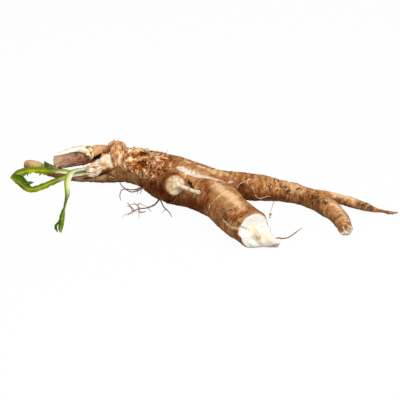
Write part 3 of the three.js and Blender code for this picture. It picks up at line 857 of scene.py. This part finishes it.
def torn_fold(fold_x):
    """A rib down the peak's near face from its ragged top, as points [x, y, z, r]."""
    slant = rng.uniform(1.2, 3.2)
    thick = rng.uniform(0.3, 0.85)
    top = min(HIGHEST - 1, np.interp(fold_x, *np.array(PEAK_TOP).T) - rng.uniform(0.2, 4))
    fold = []
    for fold_z in np.linspace(top, rng.uniform(18, 23), FOLD_STATIONS):
        at_x = fold_x + slant * (top - fold_z) / 12 + rng.uniform(-0.3, 0.3)
        face = np.flatnonzero((abs(x - at_x) < FOLD_REACH) & (abs(z - fold_z) < FOLD_REACH))
        if len(face):
            width = thick * rng.uniform(0.8, 1.2)
            fold.append([at_x, y[face].min() + 0.8 * width, fold_z, width])
    if len(fold) > 2:
        fold[0][3] = fold[-1][3] = FOLD_TIP
    return fold


for name, material_name, foldings, browns in (
    ("peak_folds", "dry_folds", np.linspace(-67.2, -64.6, 7),
     ((0.35, "824a2a"), (0.45, "b47c50"), (0.55, "d6a678"), (0.70, "f0d0a6"))),
    ("pale_folds", "pale_folds", np.linspace(-63.4, -57, 17),
     ((0.35, "86502c"), (0.45, "bc8454"), (0.54, "dfb484"), (0.68, "f2d8b0"))),
):
    folds = [fold for fold in map(torn_fold, foldings) if len(fold) > 2]
    dry_tissue = mottled(material_name, 0.7, 0.15, *FOLD_DETAIL, *browns, stretch=(1, 1, 0.4))
    finish_piece(threads(folds), name, dry_tissue, "root_skin")

# ---------------------------------------------------------------------------------------------------------
# Torn tissue in the rotten heart: splinters that lie along it with two long flaps, fibres that stand out of
# it and of the skin's torn edge, and flat shards. They grew with the body and hang on where it broke.

TORN_FLAPS = [
    [[-37, 27, 31.4, 0.4], [-36.2, 24, 32.2, 1.3], [-33, 17, 33.2, 1.6], [-29.5, 10, 33.2, 1.3],
     [-26.2, 6, 32.2, 0.4]],
    [[-34, 19, 32.5, 0.3], [-30, 15, 33.8, 1], [-25, 13, 34, 1], [-21, 12, 33.4, 0.3]],
]
LYING = np.array([0.75, 0.5, 0.45])
SHARD_THICKNESS = 0.22


def drawn_from(mask, number):
    """Points of the skin, drawn where a mask is high."""
    return rng.choice(count, number, p=mask / mask.sum())


def splinter(i):
    """A splinter that lies along the tissue about one of its points, as points [x, y, z, r]."""
    way = LYING + 0.25 * rng.normal(size=3)
    length = rng.uniform(4, 9)
    thick = rng.uniform(0.35, 0.95)
    run = []
    for t in np.linspace(-0.5, 0.5, 6):
        k = ((points - points[i] - way * length * t) ** 2).sum(1).argmin()
        run.append([*(points[k] + 0.35 * thick * normals[k]), thick * (1 - 3 * t * t)])
    run = np.array(run)
    run[1:-1, :3] = (run[:-2, :3] + 2 * run[1:-1, :3] + run[2:, :3]) / 4
    run[:, 2] = np.minimum(run[:, 2], HIGHEST - 1)
    return run


def fibres(mask, number, length, radius, lean, loose=0.7, rise=0.8):
    """Strands that stand in the skin where a mask is high and lean one way, each with its own bend."""
    runs = []
    for i in drawn_from(mask, number):
        way = rise * normals[i] + np.array(lean) + loose * rng.normal(size=3)
        way /= np.linalg.norm(way)
        bend = 0.35 * rng.normal(size=3)
        size = length * rng.uniform(0.5, 1.3)
        thick = radius * rng.uniform(0.6, 1.5)
        run = []
        for t, width in ((0, 1), (0.4, 0.9), (0.75, 0.6), (1, 0.25)):
            spot = points[i] - 0.5 * normals[i] + way * size * t + bend * size * t * t
            spot[2] = np.clip(spot[2], 0.3, HIGHEST - 0.2)
            run.append([*spot, thick * width])
        runs.append(run)
    return runs


def shards(bm, mask, number, length, width, lean, loose=0.5):
    """Flat splinters that lie over the torn tissue, most of them one way."""
    for i in drawn_from(mask, number):
        way = 0.12 * normals[i] + np.array(lean) + loose * rng.normal(size=3)
        along_it = Vector(way).normalized()
        flat_side = along_it.cross(Vector(normals[i] + 0.4 * rng.normal(size=3))).normalized()
        thin_side = along_it.cross(flat_side)
        size = length * rng.uniform(0.5, 1.4)
        turn = Matrix((along_it, flat_side, thin_side)).transposed().to_4x4()
        stretch = Matrix.Diagonal((size / 2, width * rng.uniform(0.5, 1.4) / 2, SHARD_THICKNESS, 1))
        middle = Vector(points[i] + 0.1 * normals[i]) + along_it * size * 0.15
        middle.z = min(middle.z, HIGHEST - size / 2)
        spot = Matrix.Translation(middle * MM) @ turn @ stretch
        bmesh.ops.create_icosphere(bm, subdivisions=1, radius=MM, matrix=spot)


tissue = mottled(
    "torn_tissue", 0.7, 0.15, 190, 5, (0.35, "643012"), (0.44, "9a6035"), (0.52, "c08e5e"), (0.65, "e8caa0")
)
splinters = [splinter(i) for i in drawn_from(rot * smooth(-40, -34, x), 60)]
finish_piece(threads([*splinters, *TORN_FLAPS]), "rot_splinters", tissue, "root_skin")
skin_edge = torn * smooth(3.0, 0.5, z - skin_top) * smooth(-66, -60, x)
standing = fibres(rot, 70, 2.2, 0.16, (0.4, -0.5, -0.1), 0.3, 0.1)
standing += fibres(skin_edge, 80, 3.6, 0.16, (0.1, -0.5, -0.6), 0.5, 0.5)
finish_piece(threads(standing, sides=6), "rot_fibres", tissue, "root_skin")
bm = bmesh.new()
shards(bm, rot * smooth(-38, -32, x) * smooth(20, 24, z), 40, 4.6, 1.6, (0.9, -0.8, 0.1))
shards(bm, rot * smooth(-38, -32, x) * smooth(26, 22, z), 40, 6.0, 1.3, (1, 0.3, 0.4), 0.25)
shards(bm, rot * (1 - well) * smooth(-32, -38, x), 40, 3.2, 1.5, (0.7, -0.3, 0.1))
finish_piece(bm, "rot_shards", tissue, "root_skin")

# ---------------------------------------------------------------------------------------------------------
# The young leaves at the crown. Each is a soft blade on a pale, juicy stalk: one hangs over and is twisted,
# one has a jagged edge, one is folded back on itself, and one is still a rolled bud.
# A leaf's station is [x, y, z, half width, thickness, turn], with the blade's turn in degrees.

DROOPING_LEAF = [
    [-82, 37.5, 13, 1.6, 1.6, 0], [-87, 34, 14, 1.9, 1.7, 0], [-91.5, 30.5, 15, 2.2, 1.6, 0],
    [-95.5, 25, 15.5, 2.6, 1.4, 5], [-97, 19, 15, 2.6, 1.3, 5], [-97.5, 13.5, 13, 2.5, 1.2, 10],
    [-97, 8.5, 10.5, 2.3, 1.1, 10], [-96.5, 3, 8.5, 2, 1, 20], [-97, -3, 6.5, 1.6, 1, 35],
    [-97.5, -9.5, 5, 1.4, 0.9, 40], [-98, -16.5, 4, 2, 0.7, 30], [-98, -24, 3, 2.2, 0.6, 15],
    [-98, -32, 2.5, 2, 0.5, 0], [-98, -37.5, 2, 1.6, 0.5, -10], [-97.5, -40, 1, 0.6, 0.4, -10],
]
CURLED_TIP = [
    [-98.5, -27, 3.5, 0.6, 0.6, 20], [-99.8, -32, 4.4, 1.6, 0.6, 30], [-100.6, -37, 3.8, 1.8, 0.5, 50],
    [-99.5, -40.5, 2, 0.7, 0.5, 60],
]
SERRATED_LEAF = [
    [-90, 37, 11.8, 1.1, 1.2, 0], [-98.5, 33.2, 12, 1.3, 1.1, 0], [-106, 36, 11.5, 1.5, 1, 0],
    [-111.5, 38.5, 10.5, 1.7, 0.9, 5], [-116, 40.2, 9.6, 2.5, 0.7, 10], [-120.5, 42, 9, 2.8, 0.6, 15],
    [-125.5, 44, 8.2, 2.7, 0.6, 20], [-130.5, 45, 7.4, 3, 0.6, 15], [-135, 44.5, 6.6, 3.2, 0.6, 5],
    [-139.5, 42.5, 5.9, 2.9, 0.6, 0], [-142.5, 39.8, 5.4, 1.8, 0.5, 0], [-144.8, 37.7, 5, 0.3, 0.4, 0],
]
SPIKES = [
    [[-121.5, 45, 9.2, 1, 0.5, 0], [-121.5, 47.6, 10.2, 0.7, 0.5, 0], [-121.2, 50.4, 11.6, 0.15, 0.4, 0]],
    [[-123.8, 45.8, 8.8, 0.9, 0.5, 0], [-124, 48, 9.8, 0.6, 0.5, 0], [-123.6, 50, 11, 0.15, 0.4, 0]],
    [[-127.4, 47, 8.4, 0.8, 0.5, 0], [-127.6, 49, 9.2, 0.4, 0.4, 0], [-128, 50.4, 9.6, 0.15, 0.4, 0]],
]
FOLDED_LEAF = [
    [-85, 34.6, 10.8, 1.3, 1.4, 0], [-88, 34.6, 10.3, 1.4, 1.4, 0], [-91, 34.6, 9.8, 1.4, 1.4, 0],
    [-95, 34, 9.6, 1.5, 1.4, 0], [-99.5, 33, 8.8, 1.7, 1.3, 0], [-105.5, 31, 7.4, 2, 1.2, 0],
    [-113, 27.5, 5.6, 2.2, 1.1, 5], [-118.5, 24.3, 4.4, 2.4, 1, 0], [-124.5, 21.8, 3.6, 2.4, 0.9, 5],
    [-129.5, 23.5, 3.3, 2.6, 0.8, 10], [-134.5, 29.4, 3.5, 2.9, 0.7, 5], [-139, 35, 4, 2.7, 0.6, 0],
    [-142, 37.5, 4.3, 1.7, 0.6, 0], [-144.5, 38.4, 4.6, 0.3, 0.4, 0],
]
FOLD_LOBE = [
    [-128, 25.5, 3.8, 0.9, 0.6, 0], [-132.5, 31, 4.8, 2.2, 0.6, 15], [-137, 36.2, 5.6, 2.4, 0.5, 10],
    [-141, 38.6, 5.5, 1.5, 0.5, 0], [-143.6, 38.2, 5, 0.3, 0.4, 0],
]
LEAFLET = [
    [-134, 28.5, 4.6, 0.7, 0.6, 0], [-131, 28.2, 5.2, 1.5, 0.6, 10], [-128, 28.3, 5.6, 1.2, 0.5, 15],
    [-125.3, 29, 5.6, 0.2, 0.4, 20],
]
LEAF_BUD = [
    [-97, 37, 11, 0.8, 0.9, 0], [-106.5, 42, 10.6, 0.9, 1, 0], [-112, 45.6, 10.6, 1.1, 1.3, 20],
    [-115, 46.4, 10.7, 1.9, 1.9, 20], [-117.5, 48.8, 10.7, 1.8, 1.8, 20], [-119.5, 53, 10.5, 1.1, 1.2, 20],
    [-120.4, 56, 10.4, 0.3, 0.4, 20],
]
LEAF_SIDE = np.array([0, -0.6, -0.8])
SIDEWAYS = np.array([1.0, 0, 0])
BLADE_LAYERS = ("along", "across", "green", "dark")
BLADE_SIDES = 22
WIDENS_OVER = 14  # the length over which a stalk turns into a blade
TOOTH_DRIFT = 5  # how far along the edge a tooth strays from its even place


def rod(bm, rings, sides):
    """A closed upright rod of unit radius with its rings one unit apart. Returns its vertices."""
    made = bmesh.ops.create_circle(bm, cap_ends=True, segments=sides, radius=1)["verts"]
    end = [made[0].link_faces[0]]
    for ring_number in range(rings - 1):
        pulled = bmesh.ops.extrude_face_region(bm, geom=end)["geom"]
        if ring_number:
            bmesh.ops.delete(bm, geom=end, context="FACES_ONLY")  # the first end stays as the rod's foot
        end = [g for g in pulled if isinstance(g, bmesh.types.BMFace)]
        raised = [g for g in pulled if isinstance(g, bmesh.types.BMVert)]
        bmesh.ops.translate(bm, verts=raised, vec=(0, 0, 1))
        made += raised
    return made


def add_blade(bm, stations, side, cup=0.35, teeth=0, pitch=5.2, stalk=0, ripple=0.12, dark=0, seed=0):
    """Bends a closed rod into a leaf: flat, thick at its rib, with its edges lifted and torn into teeth.

    stalk is the length in millimetres that stays a pale round stalk. dark paints shade on one edge, or at
    1.5 both.
    """
    line, tangents, lengths = course(stations, 0.5)
    layers = {name: bm.verts.layers.float[name] for name in BLADE_LAYERS}
    for v in rod(bm, len(line), BLADE_SIDES):
        k = round(v.co.z)
        angle = math.atan2(v.co.y, v.co.x)
        *centre, half, thick, turn = line[k]
        wide = side - tangents[k] * (side @ tangents[k])
        wide /= np.linalg.norm(wide)
        facing = np.cross(tangents[k], wide)
        turned = math.radians(turn)
        wide, facing = (
            wide * math.cos(turned) + facing * math.sin(turned),
            facing * math.cos(turned) - wide * math.sin(turned),
        )
        w = math.cos(angle)  # from -1 at the left edge through the rib to 1 at the right one
        leafy = float(smooth(stalk, stalk + WIDENS_OVER, lengths[k])) if stalk else 1.0
        tooth = 0.0
        if teeth and w > 0:
            uneven = noise.noise((0.13 * lengths[k], seed, 0))
            saw = (lengths[k] + TOOTH_DRIFT * uneven) / pitch % 1
            tooth = teeth * leafy * (1.3 * saw - 0.6 + 0.8 * uneven) * w
        edge = noise.noise((0.35 * lengths[k], 2.0 * w, seed)) * 0.22 * abs(w) * leafy
        rib = thick * (0.5 + 0.5 * (1 - abs(w)) ** 2) if leafy > 0.5 else thick
        lift = cup * half * w * w + ripple * leafy * abs(w) * math.sin(0.9 * lengths[k] + 2 * w + seed)
        offset = wide * (w * half * (1 + tooth + edge)) + facing * (lift + math.sin(angle) * rib / 2)
        v.co = Vector(np.array(centre) + offset) * MM
        shade = abs(dark) - 1 + float(smooth(-0.5, 0.8, w * math.copysign(1, dark))) if dark else 0.0
        for name, value in zip(BLADE_LAYERS, (lengths[k], w, leafy, max(0, shade))):
            v[layers[name]] = value


def leaf_bmesh():
    """An empty mesh with the layers that a blade keeps its measures in."""
    bm = bmesh.new()
    for name in BLADE_LAYERS:
        bm.verts.layers.float.new(name)
    return bm


def off_rib(tree):
    """How far a place on a blade is from its rib: 0 on the rib and 1 on either edge."""
    node = tree.nodes.new("ShaderNodeMath")
    node.operation = "ABSOLUTE"
    tree.links.new(attribute(tree, "across"), node.inputs[0])
    return node.outputs["Value"]


leaf_green, tree, shader, place = new_material("leaf_green", 0.5, 0.15)
shader.inputs["Subsurface Weight"].default_value = 0.12
shader.inputs["Subsurface Radius"].default_value = (0.4 * MM, 0.6 * MM, 0.1 * MM)
blade = ramp(noise_on(place, 160, 3), (0.32, "5e6c00"), (0.5, "7a8200"), (0.68, "a4a80a"))
blade = blend(between(off_rib(tree), 0.14, 0.0), blade, "b4c83a")
# painted shade: a darker green over one edge of a blade, and over both where dark is 1.5 or more
blade = blend(attribute(tree, "dark"), blade, "2f5a02")
# The stalk: painted shade on its left side, its own pale green in the middle and a painted highlight on its
# right edge.
to_right = between(attribute(tree, "across"), -1, 1)
stalk = ramp(to_right, (0.08, "7d8f1c"), (0.25, "b8c260"), (0.55, "d4d69c"), (0.85, "ecebcc"))
colour = blend(attribute(tree, "green"), stalk, blade)
finish(shader, colour, noise_on(place, 1100, 2), 0.25, 0.15)

bm = leaf_bmesh()
add_blade(bm, DROOPING_LEAF, SIDEWAYS, cup=0.45, stalk=34, ripple=0.1, dark=-1, seed=1)
add_blade(bm, CURLED_TIP, SIDEWAYS, cup=0.4, dark=-1.5, seed=2)
finish_piece(bm, "drooping_leaf", leaf_green, "leaf_green", "leaf_drooping")
bm = leaf_bmesh()
add_blade(bm, SERRATED_LEAF, LEAF_SIDE, cup=0.2, teeth=0.7, stalk=12, dark=-0.6, seed=3)
for number, spike in enumerate(SPIKES):
    add_blade(bm, spike, SIDEWAYS, cup=0.1, ripple=0, seed=number)
finish_piece(bm, "serrated_leaf", leaf_green, "leaf_green", "leaf_serrated")
bm = leaf_bmesh()
add_blade(bm, FOLDED_LEAF, LEAF_SIDE, cup=-0.25, stalk=12, dark=-0.8, seed=5)
add_blade(bm, FOLD_LOBE, LEAF_SIDE, cup=0.2, teeth=0.3, dark=-1.3, seed=7)
add_blade(bm, LEAFLET, LEAF_SIDE, cup=0.3, dark=-1.2, seed=6)
finish_piece(bm, "folded_leaf", leaf_green, "leaf_green", "leaf_folded")
bm = leaf_bmesh()
add_blade(bm, LEAF_BUD, LEAF_SIDE, cup=0.1, stalk=10, ripple=0.05, dark=1.6, seed=8)
finish_piece(bm, "rolled_bud", leaf_green, "leaf_green", "leaf_bud")

# ---------------------------------------------------------------------------------------------------------
# Dry remains on the old shoot's stump: a papery scale with a second rim, and the thread of a dead leaf
# stalk. Both are straw-coloured and light, and hang on where they withered.

DRY_SCALE = [
    [-93, 42.2, 25.2, 0.3, 0.5, 0], [-90.5, 42.4, 26, 1.1, 0.6, 0], [-87.5, 42, 26.4, 2.0, 0.7, 0],
    [-84.8, 40.6, 25.6, 2.2, 0.7, 0], [-82.4, 40, 23.4, 1.6, 0.7, 0], [-82, 40, 20.8, 0.9, 0.6, 0],
    [-82, 40.4, 18.6, 0.2, 0.5, 0],
]
SCALE_RIM = [
    [-86.5, 46, 27, 0.6, 0.6, 0], [-84, 44.6, 26.6, 1.6, 0.7, 0], [-81.6, 43, 25, 1.4, 0.7, 0],
    [-80.9, 41.8, 22.6, 0.9, 0.6, 0], [-81.2, 41, 20, 0.3, 0.5, 0],
]
DRY_STALK = [
    [-79.5, 45.5, 27.6, 0.5], [-82, 45.2, 28.4, 0.5], [-87.5, 44, 29.2, 0.48], [-94.5, 41, 29.7, 0.45],
    [-100.5, 38, 29, 0.42], [-107, 36, 27, 0.35],
]
SCALE_SIDE = np.array([0.5, -0.5, -0.7])
straw = mottled("dry_straw", 0.8, 0.2, 300, 4, (0.3, "b39b6c"), (0.48, "e0cd9c"), (0.66, "f6ecd0"))
bm = leaf_bmesh()
add_blade(bm, DRY_SCALE, SCALE_SIDE, cup=0.2, teeth=0.3, pitch=2.6, ripple=0.2, seed=11)
add_blade(bm, SCALE_RIM, SCALE_SIDE, cup=0.2, ripple=0.1, seed=12)
finish_piece(bm, "dry_scale_leaf", straw, "dry_straw", "dry_scale")
finish_piece(threads([DRY_STALK]), "dry_stalk_thread", straw, "dry_straw", "dry_stalk")

# ---------------------------------------------------------------------------------------------------------
# The frayed end of the offshoot: sheets of soft white tissue that tore lengthways and lie folded over
# each other, with a few shards from the stump's broken end. They grew with the body and hang on by it.

FRAYED_SHEETS = [
    [[-72, 35.5, 20, 0.3, 0.8, 0], [-75.5, 33.6, 19, 1.8, 1.1, 25], [-79.5, 33.4, 18.4, 2.1, 0.9, 35],
     [-82.5, 33.8, 17.8, 1.2, 0.8, 40], [-85, 34.4, 17, 0.3, 0.5, 40]],
    [[-71.5, 33.5, 17.6, 0.3, 0.8, 0], [-75, 31.6, 16.6, 1.9, 1.2, -10], [-79, 30.8, 15.2, 1.9, 1, 10],
     [-82.5, 30.8, 14.4, 1.3, 0.8, 30], [-85.6, 31.4, 14, 0.3, 0.5, 30]],
    [[-72.5, 34, 14.6, 0.3, 0.8, 0], [-75.5, 31.2, 13.6, 1.9, 1.4, -15], [-79, 30.3, 12, 2.1, 1.4, 0],
     [-82, 30.3, 10.8, 1.4, 1, -20], [-84.4, 31, 10, 0.3, 0.5, -20]],
    [[-74, 34.5, 12.2, 0.3, 0.8, 0], [-77.5, 32.4, 10.6, 1.3, 1, 20], [-80.5, 31.8, 9.4, 1, 0.8, 20],
     [-83.5, 32, 8.6, 0.3, 0.5, 20]],
    [[-79, 33.6, 15.4, 0.3, 0.8, 0], [-82, 32.4, 15.8, 1, 0.8, 30], [-85.2, 32.8, 16, 0.8, 0.6, 45],
     [-88, 33.2, 16.8, 0.15, 0.4, 45]],
    [[-79, 32, 12.6, 0.3, 0.8, 0], [-81.5, 30.8, 12.4, 0.9, 0.8, 15], [-84.6, 31, 12, 0.8, 0.7, -20],
     [-87.4, 31.4, 11.2, 0.15, 0.4, -20]],
]
FIRST_SHEET_SEED = 20
sheet_white, tree, shader, place = new_material("frayed_white", 0.55, 0.3)
streak_at = tree.nodes.new("ShaderNodeCombineXYZ")
tree.links.new(attribute(tree, "along"), streak_at.inputs["X"])
tree.links.new(attribute(tree, "across"), streak_at.inputs["Y"])
streaks = noise_on(streak_at.outputs["Vector"], 1.0, 3, (0.3, 4, 1))
colour = ramp(streaks, (0.36, "8e5e3a"), (0.45, "cfac84"), (0.58, "efe2cc"))
blots = ramp(noise_on(place, 260, 4), (0.34, "a8794e"), (0.44, "ffffff"))
colour = blend(0.7, colour, blots, "MULTIPLY")
# painted shade along the sheets' edges, where they lie over each other
colour = blend(between(off_rib(tree), 0.72, 1.0), colour, "a87c55")
tree.links.new(colour, shader.inputs["Base Color"])
bm = leaf_bmesh()
for number, sheet in enumerate(FRAYED_SHEETS):
    add_blade(bm, sheet, LEAF_SIDE, cup=-0.45, ripple=0.42, seed=FIRST_SHEET_SEED + number)
shards(bm, stump_end, 12, 2.2, 2, (0.1, -1, -0.3), 0.6)
finish_piece(bm, "frayed_end", sheet_white, "root_skin")

# ---------------------------------------------------------------------------------------------------------
# Rootlets: hair-thin brown roots that grow out of the skin and branch, and lie on or just over the
# table. Shorter hairs, some of them pale, cling to the skin or stand out of its underside.

ROOTLETS = {
    "rootlet_curled": [
        [[-39.5, 4.5, 13, 0.55], [-41.2, 6.3, 12.5, 0.5], [-44.6, 9.5, 9, 0.5], [-50, 13.5, 5.5, 0.45],
         [-55, 20.2, 4.5, 0.45], [-59, 26.7, 5, 0.35], [-60, 31, 6, 0.25]],
    ],
    "rootlet_hooked": [
        [[-41, 6, 12, 0.5], [-43.4, 9.8, 10.9, 0.5], [-46, 15.5, 6.8, 0.5], [-50.2, 20.6, 3.6, 0.45],
         [-55, 25.6, 1.6, 0.4], [-58.5, 24.6, 1.1, 0.35], [-59.2, 16.5, 0.9, 0.35], [-58, 9.3, 0.6, 0.2]],
        [[-43.4, 9.8, 10.9, 0.3], [-42.5, 8, 9, 0.3], [-43.4, 6.6, 7.6, 0.2]],
        [[-46, 15.5, 6.8, 0.3], [-45.2, 12.5, 6.4, 0.25], [-45.8, 10.4, 5.2, 0.2]],
    ],
    "rootlet_bushy": [
        [[-28.5, 7.6, 3.6, 0.6], [-29.8, 5.6, 2.4, 0.6], [-33, 0.2, 1.4, 0.6], [-38.6, -3.6, 1.1, 0.5],
         [-44, -4.6, 1, 0.45], [-48, -8.2, 0.9, 0.4], [-50, -11, 0.8, 0.3], [-51.5, -14, 0.6, 0.2]],
        [[-47, -7.5, 0.9, 0.35], [-48.6, -3.4, 0.9, 0.35], [-50.6, -0.2, 0.9, 0.35], [-52.8, 5.3, 0.8, 0.2]],
        [[-49.6, -1.5, 0.9, 0.25], [-52, -0.5, 0.8, 0.2], [-53.4, 0.8, 0.7, 0.15]],
        [[-43, -4.5, 1, 0.35], [-45, 0, 1, 0.3], [-46.5, 2, 0.8, 0.2]],
        [[-45, 0, 1, 0.25], [-44.4, 2.4, 0.9, 0.2], [-44, 4.4, 0.8, 0.15]],
        [[-44, -5, 1, 0.3], [-43.4, -9.5, 0.9, 0.3], [-41.5, -9, 0.9, 0.25], [-39, -8, 0.7, 0.15]],
        [[-37, -2.6, 1.2, 0.3], [-36.4, -5.4, 0.9, 0.25], [-34, -8.2, 0.7, 0.15]],
        [[-43.5, -6, 1, 0.25], [-44.5, -2, 1.1, 0.3], [-45, 1, 1.2, 0.3], [-43.5, 3.5, 1.2, 0.25],
         [-41, 1, 1, 0.2], [-37.5, -0.5, 0.8, 0.12]],
        [[-43.5, -4.5, 1, 0.25], [-43, -9.5, 0.9, 0.25], [-41.5, -10.5, 0.8, 0.22], [-39, -9, 0.9, 0.2],
         [-38.5, -7.5, 0.8, 0.12]],
        [[-43, -9.5, 0.9, 0.2], [-43.5, -14, 0.7, 0.18], [-42.5, -18, 0.6, 0.1]],
        [[-47.5, -8, 1, 0.25], [-45.5, -9.5, 1.2, 0.2], [-43, -10.5, 0.9, 0.12]],
        [[-47, -9, 0.9, 0.2], [-48.5, -12, 0.8, 0.2], [-50.5, -11.5, 0.9, 0.2], [-53.5, -13.5, 0.8, 0.18],
         [-55.5, -16.5, 0.6, 0.1]],
        [[-51, -0.5, 1, 0.25], [-50, 2, 1.2, 0.22], [-46.5, 2, 1.2, 0.2], [-44.5, 0.5, 1, 0.15]],
        [[-46.5, 2, 1.2, 0.18], [-47.5, 3.5, 1.1, 0.18], [-48.5, 5, 0.8, 0.1]],
        [[-47.5, -8, 0.9, 0.35], [-48.5, -7.5, 1, 0.35], [-49.5, -3.5, 1.2, 0.35], [-51, 0.5, 1, 0.32],
         [-52, 3, 0.9, 0.25], [-53, 5, 0.8, 0.12]],
    ],
    "rootlet_straight": [
        [[-28.6, 6, 3.2, 0.5], [-27.4, 3.6, 2, 0.5], [-25.4, -3, 1.4, 0.45], [-21.5, -9.8, 1.1, 0.4],
         [-19.2, -17, 0.7, 0.25]],
        [[-24, -5.6, 1.3, 0.25], [-25.6, -8.4, 1, 0.2], [-26, -11, 0.7, 0.15]],
    ],
    "rootlet_at_snap": [
        [[51, -60.5, 7, 0.5], [53.5, -60.3, 7.9, 0.5], [55.5, -57.8, 7, 0.5], [58, -55, 4.8, 0.5],
         [63, -49.5, 2.5, 0.45], [68.5, -41, 1.2, 0.4], [74, -32.5, 0.6, 0.2]],
    ],
}
HAIRS = [
    [[-22, -1, 3.5, 0.3], [-18, -7, 8, 0.3], [-15.5, -10, 13, 0.3], [-14, -11, 16, 0.15]],
    [[83.5, -0.5, 15, 0.25], [86.5, -1.5, 14.5, 0.25], [89, -4, 14.5, 0.12]],
    [[99.5, -39.5, 9.5, 0.25], [102.5, -44.5, 8.5, 0.12]],
    [[-23.5, 5, 2, 0.25], [-22, 1, 1.6, 0.2], [-22.5, -0.5, 1, 0.1]],
    [[-31.5, 4.5, 10, 0.35], [-30.5, 3, 7, 0.4], [-29.5, 5, 4, 0.4]],
]
HANGING_HAIR = [
    [[56.4, 6, 6, 0.2], [56, 3.4, 2.4, 0.2], [55.2, 1.5, 0.9, 0.2], [54, -4, 0.7, 0.16],
     [53, -10, 0.7, 0.18], [52.5, -12.4, 0.9, 0.6], [52.3, -13.8, 0.9, 0.7], [52.2, -15.4, 0.7, 0.2],
     [52, -17.4, 0.6, 0.5], [51.9, -18.6, 0.6, 0.15]],
    [[52.4, -12.4, 0.9, 0.2], [53.4, -13.2, 1.2, 0.3], [53.2, -14.4, 1, 0.12]],
]
PALE_HAIRS = [
    [[5.5, -30, 11, 0.24], [7, -34, 15, 0.26], [7.5, -34, 18, 0.3], [7.5, -33, 19.5, 0.15]],
    [[27.5, -7, 19.5, 0.3], [30.5, -7, 21, 0.26], [33, -3.5, 22, 0.26], [35, 3.5, 20, 0.15]],
    [[36.5, -1, 18.5, 0.2], [36, 3, 19, 0.3], [38, 5, 20.5, 0.3], [41, 5, 20, 0.3], [42, 3.5, 18.5, 0.15]],
    [[39, 1, 15.5, 0.2], [40.5, 0.5, 12.5, 0.26], [43, 0.5, 9.5, 0.26], [46.5, 1.5, 8, 0.26],
     [50.5, 2, 8, 0.28], [54.5, 2.5, 7, 0.12]],
    [[46, 1.5, 6.5, 0.3], [45.5, 2, 5.5, 0.25], [43.5, 2, 3.5, 0.12]],
]


def laid_on_skin(run):
    """A hair's run, moved on to the nearest skin."""
    laid = []
    for *spot, r in course(run, 1.5)[0]:
        i = ((points - spot) ** 2).sum(1).argmin()
        laid.append([*(points[i] + (0.8 * r + 0.1) * normals[i]), r])
    return laid


ROOTLET_BROWNS = ((0.3, "5b3a22"), (0.55, "96683f"), (0.75, "c99a6a"))
rootlet_bark = mottled("rootlet_bark", 0.7, 0.3, 500, 3, *ROOTLET_BROWNS)
for name, runs in ROOTLETS.items():
    finish_piece(threads(runs), name + "_thread", rootlet_bark, "rootlet_bark", name)
downy = smooth(0.1, -0.5, normals[:, 2]) * (1 - bare) * (z > 1.5)
hairs = [*HANGING_HAIR, *map(laid_on_skin, HAIRS)]
hairs += fibres(downy, 60, 2.4, 0.1, (0, -0.3, -0.4), 0.8, 0.5)
finish_piece(threads(hairs, sides=6), "fine_hairs", rootlet_bark, "rootlet_bark")
pale_bark = mottled("pale_bark", 0.6, 0.3, 500, 3, (0.32, "9a6c40"), (0.5, "d2aa7a"), (0.66, "ecd4ac"))
pale_hairs = threads(map(laid_on_skin, PALE_HAIRS), sides=6)
finish_piece(pale_hairs, "pale_hairs", pale_bark, "rootlet_bark")

# ---------------------------------------------------------------------------------------------------------
# The dry stick between the leaves and the shoot's stump: a withered stalk with bark of its own, stiff and
# light brown. It grew from the crown and stands where it dried.

DRY_STICK = [[-112, 38.6, 10, 0.35], [-109.5, 38, 13, 0.7], [-106, 38, 17, 0.7], [-102.2, 37.8, 21.2, 0.4]]
STICK_BROWNS = ((0.35, "8a5a2c"), (0.5, "c08a50"), (0.66, "e2b884"))
stick_bark = mottled("stick_bark", 0.7, 0.3, 700, 3, *STICK_BROWNS, stretch=(0.4, 1, 0.4))
finish_piece(threads([DRY_STICK]), "dry_stick_thread", stick_bark, "rootlet_bark", "dry_stick")
